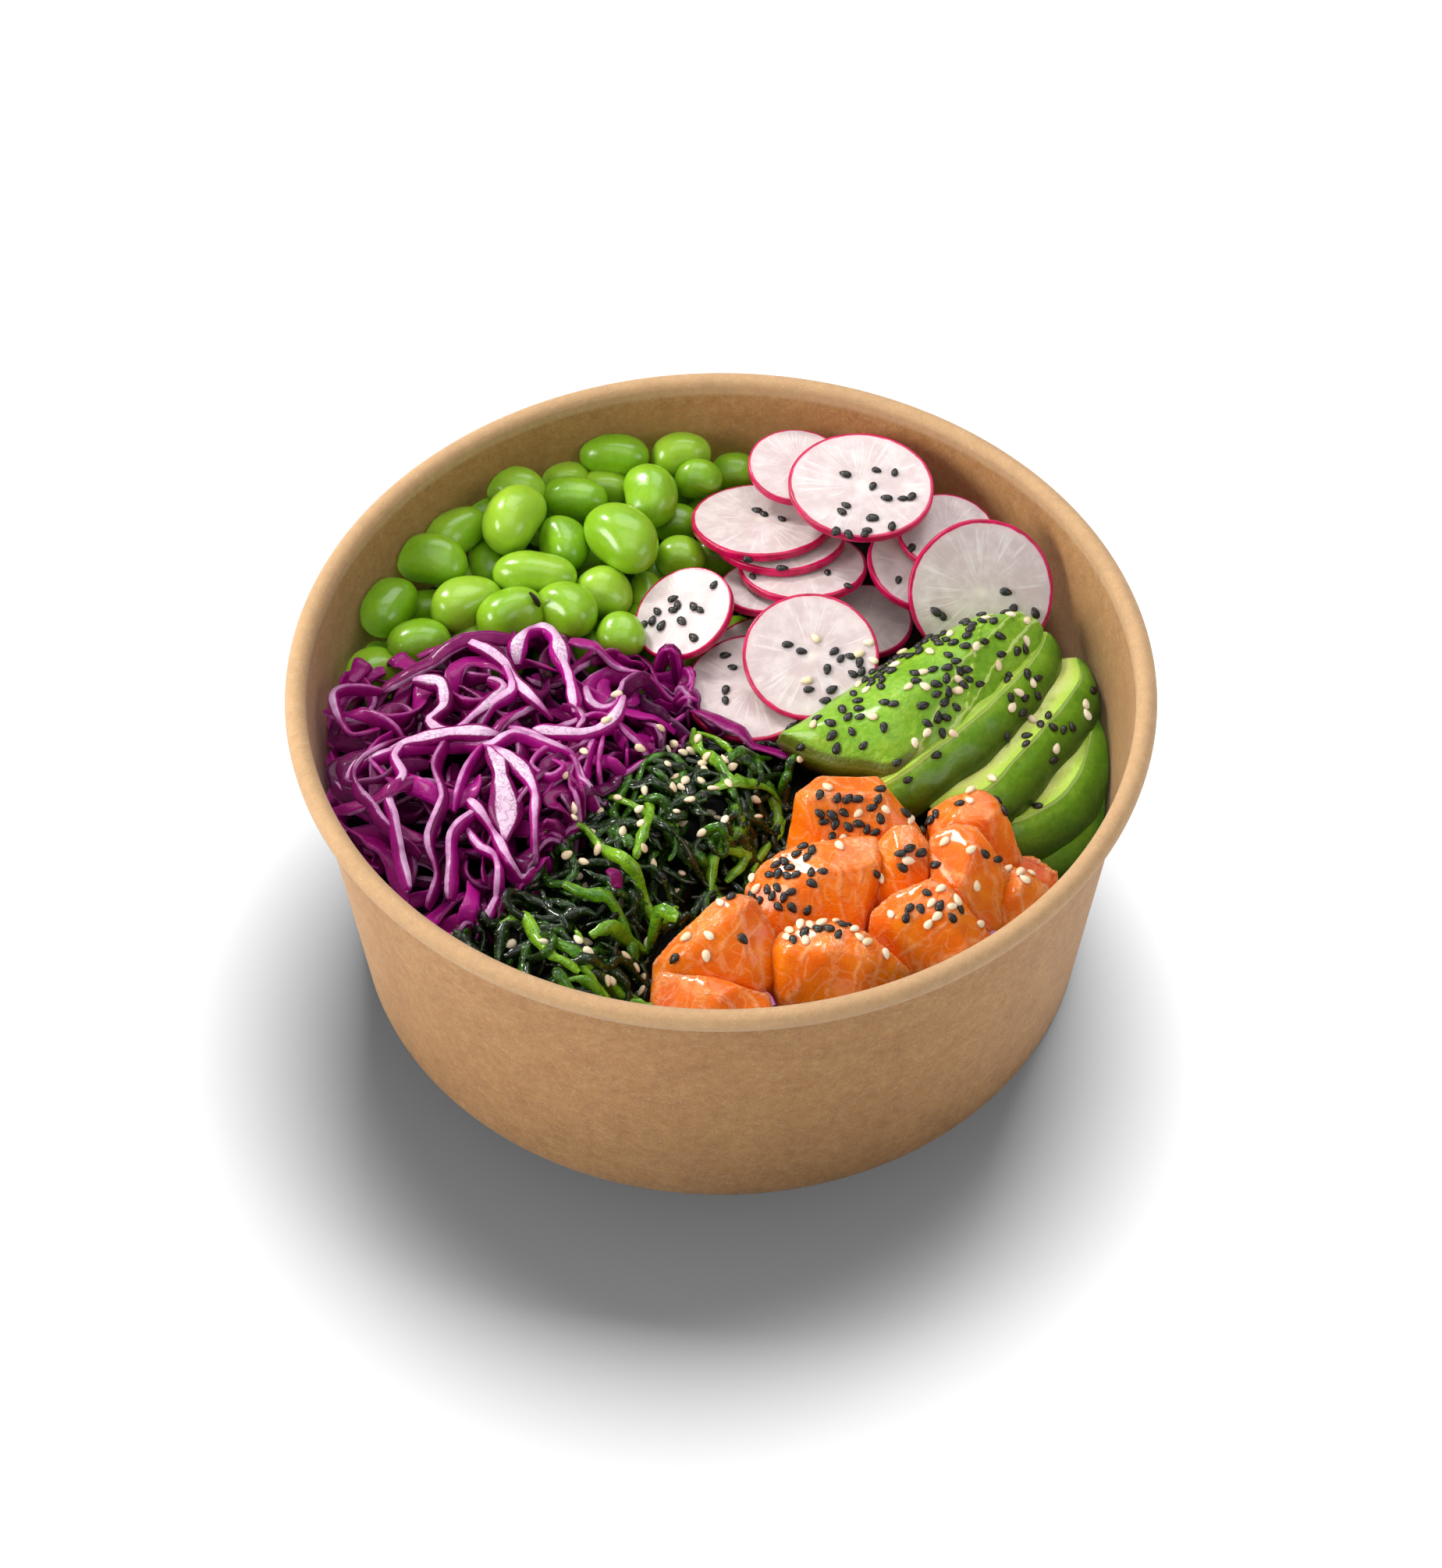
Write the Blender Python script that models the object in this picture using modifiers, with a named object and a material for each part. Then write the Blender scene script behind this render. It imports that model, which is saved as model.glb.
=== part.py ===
# Poke bowl: a paper bowl filled with edamame, red cabbage, seaweed salad, radish slices, salmon and avocado.
# Metres, +Z up. The origin is the middle of the footprint, on the surface that the bowl stands on.
import math
import random

import bmesh
import bpy
from mathutils import Euler, Matrix, Vector, noise
from mathutils.bvhtree import BVHTree

MM = 0.001

# Bowl
BOWL_HEIGHT = 76.9 * MM
BASE_RADIUS = 80.2 * MM  # outside of the foot
ROLL_RADIUS = 2.3 * MM  # tube radius of the rolled rim
RIM_RADIUS = 92.5 * MM  # outside of the rolled rim
WALL = 0.8 * MM
FOOT_WIDTH = 2.0 * MM  # the folded foot ring
BASE_RECESS = 6.0 * MM  # underside of the base disc above the table
BASE_THICKNESS = 1.0 * MM
RIDGE = 0.4 * MM  # bead that the curl presses into the wall under the rim
BOWL_STEPS = 60

ROLL_CENTRE = (RIM_RADIUS - ROLL_RADIUS, BOWL_HEIGHT - ROLL_RADIUS)
WALL_TOP_Z = ROLL_CENTRE[1] - 1.9 * MM
WALL_TOP_RADIUS = ROLL_CENTRE[0] - 1.3 * MM

# Food
GAP = 0.35 * MM  # clearance that touching pieces keep
RADISH_THICKNESS = 2.0 * MM
RADISH_SIDES = 24
AVOCADO_THICKNESS = 7.0 * MM
SOFT_EDGE = 1.6 * MM  # rounding of a salmon cube's edges
SALMON_REACH = 28 * MM  # cubes further apart than this can't meet
GROWTH = 1.4  # a rounded corner moves out by more than the clearance of the faces beside it
HEAP_CELL = 4.5 * MM
BEAN_CELL = 3.0 * MM

# Radish slices: middle (mm), radius (mm), tilt and the heading that the tilt leans towards (degrees).
# They lie in two fans that lean on each other, listed from the bottom up.
RADISH_SLICES = [
    ((32, 39, 51), 10.8, 1, 0),
    ((10, 26, 51.8), 13.5, 3, 215),
    ((7, 16, 54.6), 15.5, 4, 200),
    ((10, 42, 58.4), 10.5, 14, 90),
    ((18, 47, 60), 14.6, 15, 92),
    ((13, 56, 60), 15, 15, 90),
    ((9, 59, 62), 16, 16, 88),
    ((28, 69, 63.9), 11, 2, 60),
    ((17, 71, 67.1), 11.4, 4, 340),
    ((31.5, 66, 69.2), 13.2, 1, 300),
    ((43.8, 46.4, 60.3), 12.4, 18, 345),
    ((50, 54, 63.4), 11.5, 8, 335),
    ((31, 60, 71.9), 16.6, 2, 350),
    ((-8, 33, 60), 11.9, 25, 202),
    ((19.5, 18.5, 62.2), 15.2, 19, 272),
    ((57, 37, 62.8), 16.5, 48, 281),
]

# Salmon cubes: middle (mm), sides (mm), turn about Z, then tilts about X and Y (degrees).
# A cube that comes later in the list is pressed in where it meets an earlier one.
SALMON_CUBES = [
    ((44, -54, 56), (24, 19, 17), 6, 18, 4),
    ((22, -64, 56), (24, 19, 17), -8, 15, 0),
    ((-1, -57, 56), (24, 21, 19), 22, 22, -8),
    ((21, -42, 57), (26, 21, 18), 18, 12, -6),
    ((53, -36, 57), (19, 19, 17), -22, 15, 6),
    ((27, -23, 56), (24, 18, 17), -8, 10, 0),
    ((39, -36, 57), (15, 19, 17), 4, 10, 4),
    ((55, -21, 54), (21, 16, 16), -20, 8, 8),
    ((66, -44, 54), (16, 17, 16), -33, 8, 6),
    ((71, -30, 51), (13, 13, 14), -23, 0, 8),
    ((-6, -75, 54), (26, 13, 13), 4, 8, 0),
]

# Avocado: a domed end slice on top, then flat slices fanned out under it like roof tiles.
AVOCADO_DOME = ((42, 5.6, 61.8), 32, 66, 22.6, 9)  # middle (mm), heading (degrees), length, width, height (mm)
# Flat slices: middle of the outer top edge (mm), heading and tilt (degrees), length and width (mm).
AVOCADO_SLABS = [
    ((55, -1, 60), 47, 8, 46, 14),
    ((65, -5, 53.6), 50, 8, 50, 16),
    ((72, -10, 47), 53, 8, 48, 16),
    ((75.5, -15, 40.3), 52, 8, 44, 16),
]

# Edamame beans that make the heap's outline: middle (mm), length, width (mm) and heading (degrees).
BEANS = [
    ((-24, 80, 62), 16, 10, -7),
    ((-9, 81, 61), 13.5, 10, 10),
    ((3, 80, 56), 11, 9, 0),
    ((-35, 76, 58), 11, 9, 0),
    ((-5, 75, 59), 11, 9.5, 0),
    ((-26, 74, 57), 12, 9, 0),
    ((-46, 70, 61), 14.5, 10, -19),
    ((-33, 68, 60), 15.5, 10, -7),
    ((-16, 67, 62), 16, 12, -82),
    ((-46, 59, 63), 18, 13, 66),
    ((-22, 52, 64), 19, 14, -48),
    ((-35, 55, 59), 14, 11, -66),
    ((-59, 58, 60), 15, 11, 43),
    ((-54, 67, 56), 11, 9, 0),
    ((-10, 66, 54), 11, 9, 0),
    ((-9, 53, 57), 11, 10, 0),
    ((-64, 49, 60), 16.5, 12, -19),
    ((-52, 54, 54), 12, 9, -80),
    ((-41, 44, 61), 18.5, 11, -4),
    ((-26, 42, 57), 13, 12, 0),
    ((-17, 46, 52), 12, 9, -80),
    ((-56, 37, 59), 17, 12, 26),
    ((-65, 42, 52), 11, 9, 0),
    ((-73, 37, 55), 16, 12, 66),
    ((-45, 34, 59), 13, 10.5, 37),
    ((-33, 35, 59), 12.5, 10, -37),
    ((-66, 28, 55), 14, 12, 13),
    ((-22, 29, 57), 11, 11, 0),
    ((-77, 23, 50), 13, 11, 26),
    ((-54, 32, 53), 11, 9, 0),
    ((-77, 32, 46), 12, 9, 0),
    ((-1, 58, 52), 11, 9, 0),
]
BEAN_CORE_TOP = 53 * MM  # the beans below the top layer

# Which heap fills which part of the bowl, as outlines seen from above (mm)
REACH = 110
EDAMAME_OUTLINE = [(4, REACH), (4, 38), (-12, 23), (-45, 30), (-62, 25), (-REACH, 8), (-REACH, REACH)]
CABBAGE_OUTLINE = [
    (-REACH, 7), (-62, 24), (-45, 29), (-12, 22), (11.5, 0.6),
    (-8, 1), (-25, -18), (-39, -38), (-58, -60), (-REACH, -REACH),
]
SEAWEED_OUTLINE = [
    (5, REACH), (5, 37), (-11, 22), (13, 0), (-8, 0), (-24, -18), (-38, -38), (-57, -60), (-REACH, -112),
    (REACH, -112), (REACH, REACH),
]


# ---------------------------------------------------------------- helpers

def collection(name):
    made = bpy.data.collections.new(name)
    bpy.context.scene.collection.children.link(made)
    return made


def material(name, colour, roughness, metallic=0.0):
    made = bpy.data.materials.new(name)
    made.use_nodes = True
    shader = made.node_tree.nodes["Principled BSDF"]
    shader.inputs["Base Color"].default_value = (*colour, 1.0)
    shader.inputs["Roughness"].default_value = roughness
    shader.inputs["Metallic"].default_value = metallic
    return made


def object_from(name, mesh_source, where, finish=None):
    """A new object from a bmesh or a mesh."""
    mesh = mesh_source
    if isinstance(mesh_source, bmesh.types.BMesh):
        mesh = bpy.data.meshes.new(name)
        mesh_source.to_mesh(mesh)
        mesh_source.free()
    made = bpy.data.objects.new(name, mesh)
    where.objects.link(made)
    if finish:
        mesh.materials.append(finish)
    return made


def make_cutter(obj):
    obj.hide_render = True
    obj.display_type = "WIRE"


def turned(name, profile, where, finish=None):
    """A profile of (radius, height) points, turned about Z. It runs down the outer side."""
    build = bmesh.new()
    points = [build.verts.new((radius, 0, height)) for radius, height in profile]
    for one, other in zip(points, points[1:]):
        build.edges.new((one, other))
    made = object_from(name, build, where, finish)
    screw = made.modifiers.new("Turn", "SCREW")
    screw.axis = "Z"
    screw.steps = BOWL_STEPS
    screw.render_steps = BOWL_STEPS
    screw.use_merge_vertices = True
    screw.merge_threshold = 0.0001
    screw.use_smooth_shade = True
    return made


def wall_radius(height):
    """Outside radius of the tapered wall at a height."""
    return BASE_RADIUS + (WALL_TOP_RADIUS - BASE_RADIUS) * height / WALL_TOP_Z


# ---------------------------------------------------------------- bowl

def bowl_profile():
    floor = BASE_RECESS + BASE_THICKNESS
    foot = BASE_RADIUS - FOOT_WIDTH
    roll = [
        (ROLL_CENTRE[0] + ROLL_RADIUS * math.cos(math.radians(angle)),
         ROLL_CENTRE[1] + ROLL_RADIUS * math.sin(math.radians(angle)))
        for angle in range(165, -121, -35)
    ]
    ridge_z = WALL_TOP_Z - 2.2 * MM
    return [
        (0, floor),
        (wall_radius(floor) - WALL, floor),
        (WALL_TOP_RADIUS - WALL, WALL_TOP_Z),
        *roll,
        (WALL_TOP_RADIUS, WALL_TOP_Z),
        (wall_radius(ridge_z) + RIDGE, ridge_z),
        (wall_radius(ridge_z - 1.2 * MM), ridge_z - 1.2 * MM),
        (BASE_RADIUS, 0),
        (foot, 0),
        (foot, BASE_RECESS),
        (0, BASE_RECESS),
    ]


def bowl_interior(where):
    """The space inside the bowl, less the clearance: it trims the heaps."""
    floor = BASE_RECESS + BASE_THICKNESS + GAP
    inset = WALL + GAP
    made = turned("bowl_interior", [
        (0, BOWL_HEIGHT),
        (wall_radius(BOWL_HEIGHT) - inset, BOWL_HEIGHT),
        (wall_radius(floor) - inset, floor),
        (0, floor),
    ], where)
    make_cutter(made)
    return made


# ---------------------------------------------------------------- toppings

def leaning(tilt, heading):
    """A turn that tips +Z by tilt degrees towards a heading."""
    axis = Vector((-math.sin(math.radians(heading)), math.cos(math.radians(heading)), 0))
    return Matrix.Rotation(math.radians(tilt), 4, axis)


def place(obj, middle, turn):
    obj.matrix_world = Matrix.Translation(Vector(middle) * MM) @ turn


def radish_slice(number, middle, radius, tilt, heading, where, finish):
    build = bmesh.new()
    bmesh.ops.create_cone(build, cap_ends=True, segments=RADISH_SIDES, radius1=radius * MM,
                          radius2=radius * MM, depth=RADISH_THICKNESS)
    made = object_from(f"radish_slice_{number:02d}", build, where, finish)
    place(made, middle, leaning(tilt, heading))
    return made


def trim(obj, operation, cutter):
    cut = obj.modifiers.new("Trim", "BOOLEAN")
    cut.operation = operation
    cut.object = cutter


def grown_copy(obj, where):
    """A cutter that is larger all round than a convex object by the clearance."""
    graph = bpy.context.evaluated_depsgraph_get()
    build = bmesh.new()
    build.from_mesh(bpy.data.meshes.new_from_object(obj.evaluated_get(graph)))
    build.normal_update()
    pushed = [point.co + point.normal * GAP * GROWTH for point in build.verts]
    for point, co in zip(build.verts, pushed):
        point.co = co
    made = object_from(f"{obj.name}_grown", build, where)
    made.matrix_world = obj.matrix_world.copy()
    make_cutter(made)
    return made


def salmon_cube(number, middle, sides, turn, tilt_x, tilt_y, where, finish):
    """A hand-cut cube: its corners are moved a little and its edges are soft."""
    chance = random.Random(number)
    build = bmesh.new()
    bmesh.ops.create_cube(build, size=MM)
    for corner in build.verts:
        uneven = Vector([chance.uniform(0.86, 1.0) for _ in range(3)])
        corner.co = Vector(sides) * uneven * corner.co
    made = object_from(f"salmon_cube_{number:02d}", build, where, finish)
    soft = made.modifiers.new("Soft edges", "BEVEL")
    soft.width = SOFT_EDGE
    soft.segments = 2
    angles = [math.radians(angle) for angle in (tilt_x, tilt_y, turn)]
    place(made, middle, Euler(angles).to_matrix().to_4x4())
    return made


def avocado_body(length, width, height):
    """Half lengths along the slice, across it and up, narrower towards the stalk end at -X."""
    build = bmesh.new()
    bmesh.ops.create_uvsphere(build, u_segments=20, v_segments=12, radius=1.0)
    for point in build.verts:
        x, y, z = point.co
        slim = 1.0 + 0.22 * x
        point.co = (x * length * MM, y * width * slim * MM, z * height * slim * MM)
    return build


def cut_flat(build, point, normal):
    """Cuts off what lies on the side that the normal points to, and closes the cut."""
    everything = build.verts[:] + build.edges[:] + build.faces[:]
    cut = bmesh.ops.bisect_plane(build, geom=everything, plane_co=point, plane_no=normal,
                                 clear_outer=True)
    edges = [item for item in cut["geom_cut"] if isinstance(item, bmesh.types.BMEdge)]
    bmesh.ops.holes_fill(build, edges=edges)


def avocado_dome(where, finish):
    middle, heading, length, width, height = AVOCADO_DOME
    build = avocado_body(length / 2, width / 2, height)
    cut_flat(build, (0, 0, 0), (0, 0, -1))
    made = object_from("avocado_slice_1", build, where, finish)
    place(made, middle, Matrix.Rotation(math.radians(heading), 4, "Z"))
    return made


def avocado_slab(number, edge, heading, tilt, length, width, where, finish):
    """A slice with two flat faces. Its peeled, curved edge is at -Y and is raised by the tilt."""
    half = AVOCADO_THICKNESS / 2
    build = avocado_body(length / 2, width, width)
    for point, normal in (
        ((0, 0, half), (0, 0, 1)),
        ((0, 0, -half), (0, 0, -1)),
        ((0, 0, 0), (0, 1, 0)),
    ):
        cut_flat(build, point, normal)
    made = object_from(f"avocado_slice_{number}", build, where, finish)
    turn = Matrix.Rotation(math.radians(heading), 4, "Z") @ Matrix.Rotation(math.radians(-tilt), 4, "X")
    middle = Vector(edge) - turn.to_3x3() @ Vector((0, -width, half / MM))
    place(made, middle, turn)
    return made


# ---------------------------------------------------------------- heaps

class Undersides:
    """How high a heap may rise at a place before it meets a topping."""

    def __init__(self, toppings):
        graph = bpy.context.evaluated_depsgraph_get()
        points, faces = [], []
        for topping in toppings:
            evaluated = topping.evaluated_get(graph)
            mesh = evaluated.to_mesh()
            start = len(points)
            points += [topping.matrix_world @ vertex.co for vertex in mesh.vertices]
            faces += [[start + index for index in face.vertices] for face in mesh.polygons]
            evaluated.to_mesh_clear()
        self.tree = BVHTree.FromPolygons(points, faces)

    def limit(self, x, y, reach):
        """Lowest underside within a reach of a place."""
        lowest = BOWL_HEIGHT
        step = 1.0 * MM
        count = math.ceil(reach / step)
        for column in range(-count, count + 1):
            for row in range(-count, count + 1):
                start = Vector((x + column * step, y + row * step, 0))
                hit = self.tree.ray_cast(start, Vector((0, 0, 1)))[0]
                if hit:
                    lowest = min(lowest, hit.z)
        return lowest - GAP


def bean_top(x, y):
    """Height of the edamame's outline: the tops of the beans over the layers below."""
    highest = BEAN_CORE_TOP
    for middle, length, width, heading in BEANS:
        offset = Vector((x, y, 0)) - Vector((middle[0], middle[1], 0)) * MM
        turn = math.radians(heading)
        along = (offset.x * math.cos(turn) + offset.y * math.sin(turn)) / (length * MM / 2)
        across = (offset.y * math.cos(turn) - offset.x * math.sin(turn)) / (width * MM / 2)
        inside = 1.0 - along * along - across * across
        if inside > 0:
            highest = max(highest, middle[2] * MM + width * MM * (0.75 * inside - 0.25))
    return highest


def cabbage_top(x, y):
    """A loose mound, highest in its middle, with strands standing proud."""
    away = math.hypot((x / MM + 42) / 50, (y / MM + 8) / 42)
    lumps = noise.noise(Vector((x, y, 0)) / (11 * MM)) * 5 * MM
    return (66 - 5 * min(away, 1.4) ** 2) * MM + lumps


def seaweed_top(x, y):
    """Level in front, lower at the right, where it is the bed under the avocado."""
    to_right = min(max((x / MM - 45) / 30, 0.0), 1.0)
    lumps = noise.noise(Vector((x, y, 40 * MM)) / (9 * MM)) * 4 * MM
    return (60 - 18 * to_right) * MM + lumps


def heap(name, top, outline, cell, undersides, interior, finish, where, helpers):
    """A grid lifted to the heap's surface, closed below and trimmed to its part of the bowl."""
    cells = math.ceil(2 * RIM_RADIUS / cell)
    build = bmesh.new()
    bmesh.ops.create_grid(build, x_segments=cells, y_segments=cells, size=cells * cell / 2)
    for point in build.verts:
        x, y = point.co.xy
        if math.hypot(x, y) < RIM_RADIUS:
            point.co.z = min(top(x, y), undersides.limit(x, y, cell * 1.5))
        else:
            point.co.z = 50 * MM
    extruded = bmesh.ops.extrude_face_region(build, geom=build.faces[:])
    lowered = {item for item in extruded["geom"] if isinstance(item, bmesh.types.BMVert)}
    for point in build.verts:
        if point not in lowered:
            point.co.z = -5 * MM
    bmesh.ops.recalc_face_normals(build, faces=build.faces[:])
    made = object_from(name, build, where, finish)

    flat = bpy.data.curves.new(f"{name}_outline", "CURVE")
    flat.dimensions = "2D"
    flat.fill_mode = "BOTH"
    flat.extrude = BOWL_HEIGHT * 2
    spline = flat.splines.new("POLY")
    spline.points.add(len(outline) - 1)
    spline.use_cyclic_u = True
    for point, (x, y) in zip(spline.points, outline):
        point.co = (x * MM, y * MM, 0, 1)
    guide = bpy.data.objects.new(f"{name}_guide", flat)
    helpers.objects.link(guide)
    bpy.context.view_layer.update()
    graph = bpy.context.evaluated_depsgraph_get()
    mesh = bpy.data.meshes.new_from_object(guide.evaluated_get(graph))
    welded = bmesh.new()
    welded.from_mesh(mesh)
    bmesh.ops.remove_doubles(welded, verts=welded.verts[:], dist=0.00001)
    bmesh.ops.recalc_face_normals(welded, faces=welded.faces[:])
    sector = object_from(f"{name}_sector", welded, helpers)
    make_cutter(sector)
    bpy.data.objects.remove(guide)
    trim(made, "INTERSECT", sector)
    trim(made, "INTERSECT", interior)
    return made


def main():
    for obj in list(bpy.data.objects):
        bpy.data.objects.remove(obj)
    parts = collection("poke_bowl")
    cutters = collection("cutters")

    paper = material("kraft_paper", (0.47, 0.26, 0.12), 0.75)
    radish = material("radish", (0.86, 0.78, 0.79), 0.35)
    salmon = material("salmon", (0.95, 0.26, 0.04), 0.3)
    avocado = material("avocado", (0.32, 0.50, 0.07), 0.4)
    edamame = material("edamame", (0.28, 0.52, 0.03), 0.3)
    cabbage = material("red_cabbage", (0.20, 0.02, 0.19), 0.35)
    seaweed = material("seaweed", (0.01, 0.05, 0.01), 0.25)

    turned("bowl", bowl_profile(), parts, paper)
    interior = bowl_interior(cutters)

    toppings = []
    for number, values in enumerate(RADISH_SLICES, 1):
        toppings.append(radish_slice(number, *values, parts, radish))
    slices = [avocado_dome(parts, avocado)]
    for number, values in enumerate(AVOCADO_SLABS, 2):
        slices.append(avocado_slab(number, *values, parts, avocado))
    cubes = []
    for number, values in enumerate(SALMON_CUBES, 1):
        cubes.append(salmon_cube(number, *values, parts, salmon))
    bpy.context.view_layer.update()
    soft = slices + cubes
    grown = [grown_copy(piece, cutters) for piece in soft[:-1]]
    for index, cube in enumerate(cubes, len(slices)):
        for earlier, cutter in zip(soft[:index], grown):
            if (earlier.location - cube.location).length < SALMON_REACH:
                trim(cube, "DIFFERENCE", cutter)
        trim(cube, "INTERSECT", interior)
    toppings += soft
    bpy.context.view_layer.update()

    undersides = Undersides(toppings)
    for name, top, outline, cell, finish in (
        ("edamame_heap", bean_top, EDAMAME_OUTLINE, BEAN_CELL, edamame),
        ("cabbage_heap", cabbage_top, CABBAGE_OUTLINE, HEAP_CELL, cabbage),
        ("seaweed_heap", seaweed_top, SEAWEED_OUTLINE, HEAP_CELL, seaweed),
    ):
        heap(name, top, outline, cell, undersides, interior, finish, parts, cutters)


main()
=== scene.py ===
import math
import random

import bmesh
import bpy
import numpy as np
from mathutils import Euler, Matrix, Vector, noise
from mathutils.bvhtree import BVHTree


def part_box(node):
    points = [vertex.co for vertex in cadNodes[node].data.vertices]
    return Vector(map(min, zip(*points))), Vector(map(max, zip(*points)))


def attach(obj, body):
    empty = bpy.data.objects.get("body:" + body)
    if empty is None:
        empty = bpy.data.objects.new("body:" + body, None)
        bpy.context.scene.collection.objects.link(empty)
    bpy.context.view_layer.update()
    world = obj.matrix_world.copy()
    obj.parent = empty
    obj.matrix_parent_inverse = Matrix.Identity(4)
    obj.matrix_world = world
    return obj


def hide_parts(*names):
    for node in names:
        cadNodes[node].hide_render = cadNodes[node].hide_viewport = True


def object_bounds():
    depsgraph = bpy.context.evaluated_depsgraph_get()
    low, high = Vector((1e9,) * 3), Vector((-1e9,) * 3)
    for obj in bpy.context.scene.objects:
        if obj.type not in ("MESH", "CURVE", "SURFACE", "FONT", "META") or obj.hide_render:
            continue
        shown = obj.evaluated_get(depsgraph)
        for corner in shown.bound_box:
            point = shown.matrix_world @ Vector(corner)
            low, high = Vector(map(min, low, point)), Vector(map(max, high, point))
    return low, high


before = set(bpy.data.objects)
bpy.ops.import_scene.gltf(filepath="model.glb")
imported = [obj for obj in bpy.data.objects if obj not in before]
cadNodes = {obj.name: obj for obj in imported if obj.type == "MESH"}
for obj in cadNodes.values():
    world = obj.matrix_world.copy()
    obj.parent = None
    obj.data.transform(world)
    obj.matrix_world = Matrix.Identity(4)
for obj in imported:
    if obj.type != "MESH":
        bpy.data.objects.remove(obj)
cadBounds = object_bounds()
mm = 0.001
up = Vector((0, 0, 1))
overhead = 100 * mm  # higher than anything in the bowl


def colour(code):  # a linear colour from a hex code
    parts = [int(code[i:i + 2], 16) / 255 for i in (0, 2, 4)]
    return (*[p / 12.92 if p < 0.04045 else ((p + 0.055) / 1.055) ** 2.4 for p in parts], 1.0)


class Num:  # a number in a node tree: arithmetic on it adds Math nodes
    def __init__(self, graph, socket):
        self.graph = graph
        self.socket = socket

    def calc(self, operation, *values):
        made = self.graph.node("ShaderNodeMath", {"operation": operation}, dict(enumerate(values)))
        return Num(self.graph, made.outputs[0])

    def __add__(self, other):
        return self.calc("ADD", self, other)

    def __radd__(self, other):
        return self.calc("ADD", other, self)

    def __sub__(self, other):
        return self.calc("SUBTRACT", self, other)

    def __rsub__(self, other):
        return self.calc("SUBTRACT", other, self)

    def __mul__(self, other):
        return self.calc("MULTIPLY", self, other)

    def __rmul__(self, other):
        return self.calc("MULTIPLY", other, self)

    def __truediv__(self, other):
        return self.calc("DIVIDE", self, other)

    def __rtruediv__(self, other):
        return self.calc("DIVIDE", other, self)

    def __pow__(self, other):
        return self.calc("POWER", self, other)

    def __abs__(self):
        return self.calc("ABSOLUTE", self)

    def most(self, other):
        return self.calc("MAXIMUM", self, other)

    def rise(self, low, high):  # 0 below low, 1 above high, smooth between
        made = self.graph.node("ShaderNodeMapRange", {"interpolation_type": "SMOOTHSTEP"},
                               {"Value": self, "From Min": low, "From Max": high})
        return Num(self.graph, made.outputs["Result"])

    def band(self, middle, reach):  # 1 at middle, 0 further away than reach
        return 1 - abs(self - middle).rise(0, reach)


class Graph:
    def __init__(self, tree):
        self.tree = tree

    def node(self, kind, settings=None, inputs=None):  # settings are set before the sockets are fed
        made = self.tree.nodes.new(kind)
        for name, value in (settings or {}).items():
            if name == "stops":
                self.setStops(made.color_ramp, value)
            else:
                setattr(made, name, value)
        for key, value in (inputs or {}).items():
            self.feed(made.inputs[key], value)
        return made

    def setStops(self, ramp, stops):
        while len(ramp.elements) < len(stops):
            ramp.elements.new(1.0)
        for element, (place, shade) in zip(ramp.elements, stops):
            element.position = place
            element.color = shade

    def feed(self, socket, value):
        if isinstance(value, Num):
            value = value.socket
        if isinstance(value, bpy.types.NodeSocket):
            self.tree.links.new(value, socket)
        else:
            socket.default_value = value

    def vector(self, operation, *values):
        made = self.node("ShaderNodeVectorMath", {"operation": operation}, dict(enumerate(values)))
        return made.outputs[0]

    def scaled(self, vector, factor):
        return self.node("ShaderNodeVectorMath", {"operation": "SCALE"},
                         {0: vector, "Scale": factor}).outputs[0]

    def split(self, vector):
        made = self.node("ShaderNodeSeparateXYZ", inputs={0: vector})
        return [Num(self, socket) for socket in made.outputs]

    def join(self, x, y, z):
        return self.node("ShaderNodeCombineXYZ", inputs={0: x, 1: y, 2: z}).outputs[0]


class Paint(Graph):  # one material round a Principled shader; fixed holds the sockets that stay constant
    def __init__(self, name, fixed):
        self.material = bpy.data.materials.new(name)
        self.material.use_nodes = True
        super().__init__(self.material.node_tree)
        self.tree.nodes.clear()
        self.skin = self.node("ShaderNodeBsdfPrincipled", inputs=fixed)
        self.node("ShaderNodeOutputMaterial", inputs={"Surface": self.skin.outputs[0]})
        self.place = self.node("ShaderNodeTexCoord").outputs["Object"]

    def noise(self, size, detail=2.0, rough=0.5, at=None, wander=0.0):
        made = self.node("ShaderNodeTexNoise", None, {
            "Vector": at or self.place, "Scale": 1 / size, "Detail": detail, "Roughness": rough,
            "Distortion": wander})
        return Num(self, made.outputs[0])

    def value(self, name):  # a number stored on the mesh
        return Num(self, self.node("ShaderNodeAttribute", {"attribute_name": name}).outputs["Fac"])

    def stored(self, name):  # a vector stored on the mesh
        return self.node("ShaderNodeAttribute", {"attribute_name": name}).outputs["Vector"]

    def stretch(self, vector, scale):
        return self.node("ShaderNodeMapping", None, {"Vector": vector, "Scale": scale}).outputs[0]

    def ramp(self, number, *stops):
        return self.node("ShaderNodeValToRGB", {"stops": stops}, {0: number}).outputs[0]

    def mix(self, mask, low, high, way="MIX"):
        return self.node("ShaderNodeMix", {"data_type": "RGBA", "blend_type": way},
                         {0: mask, 6: low, 7: high}).outputs[2]

    def bump(self, height, depth):
        return self.node("ShaderNodeBump", None, {"Height": height, "Distance": depth}).outputs[0]

    def finish(self, **sockets):
        for name, value in sockets.items():
            self.feed(self.skin.inputs[name.replace("_", " ")], value)
        return self.material


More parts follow.
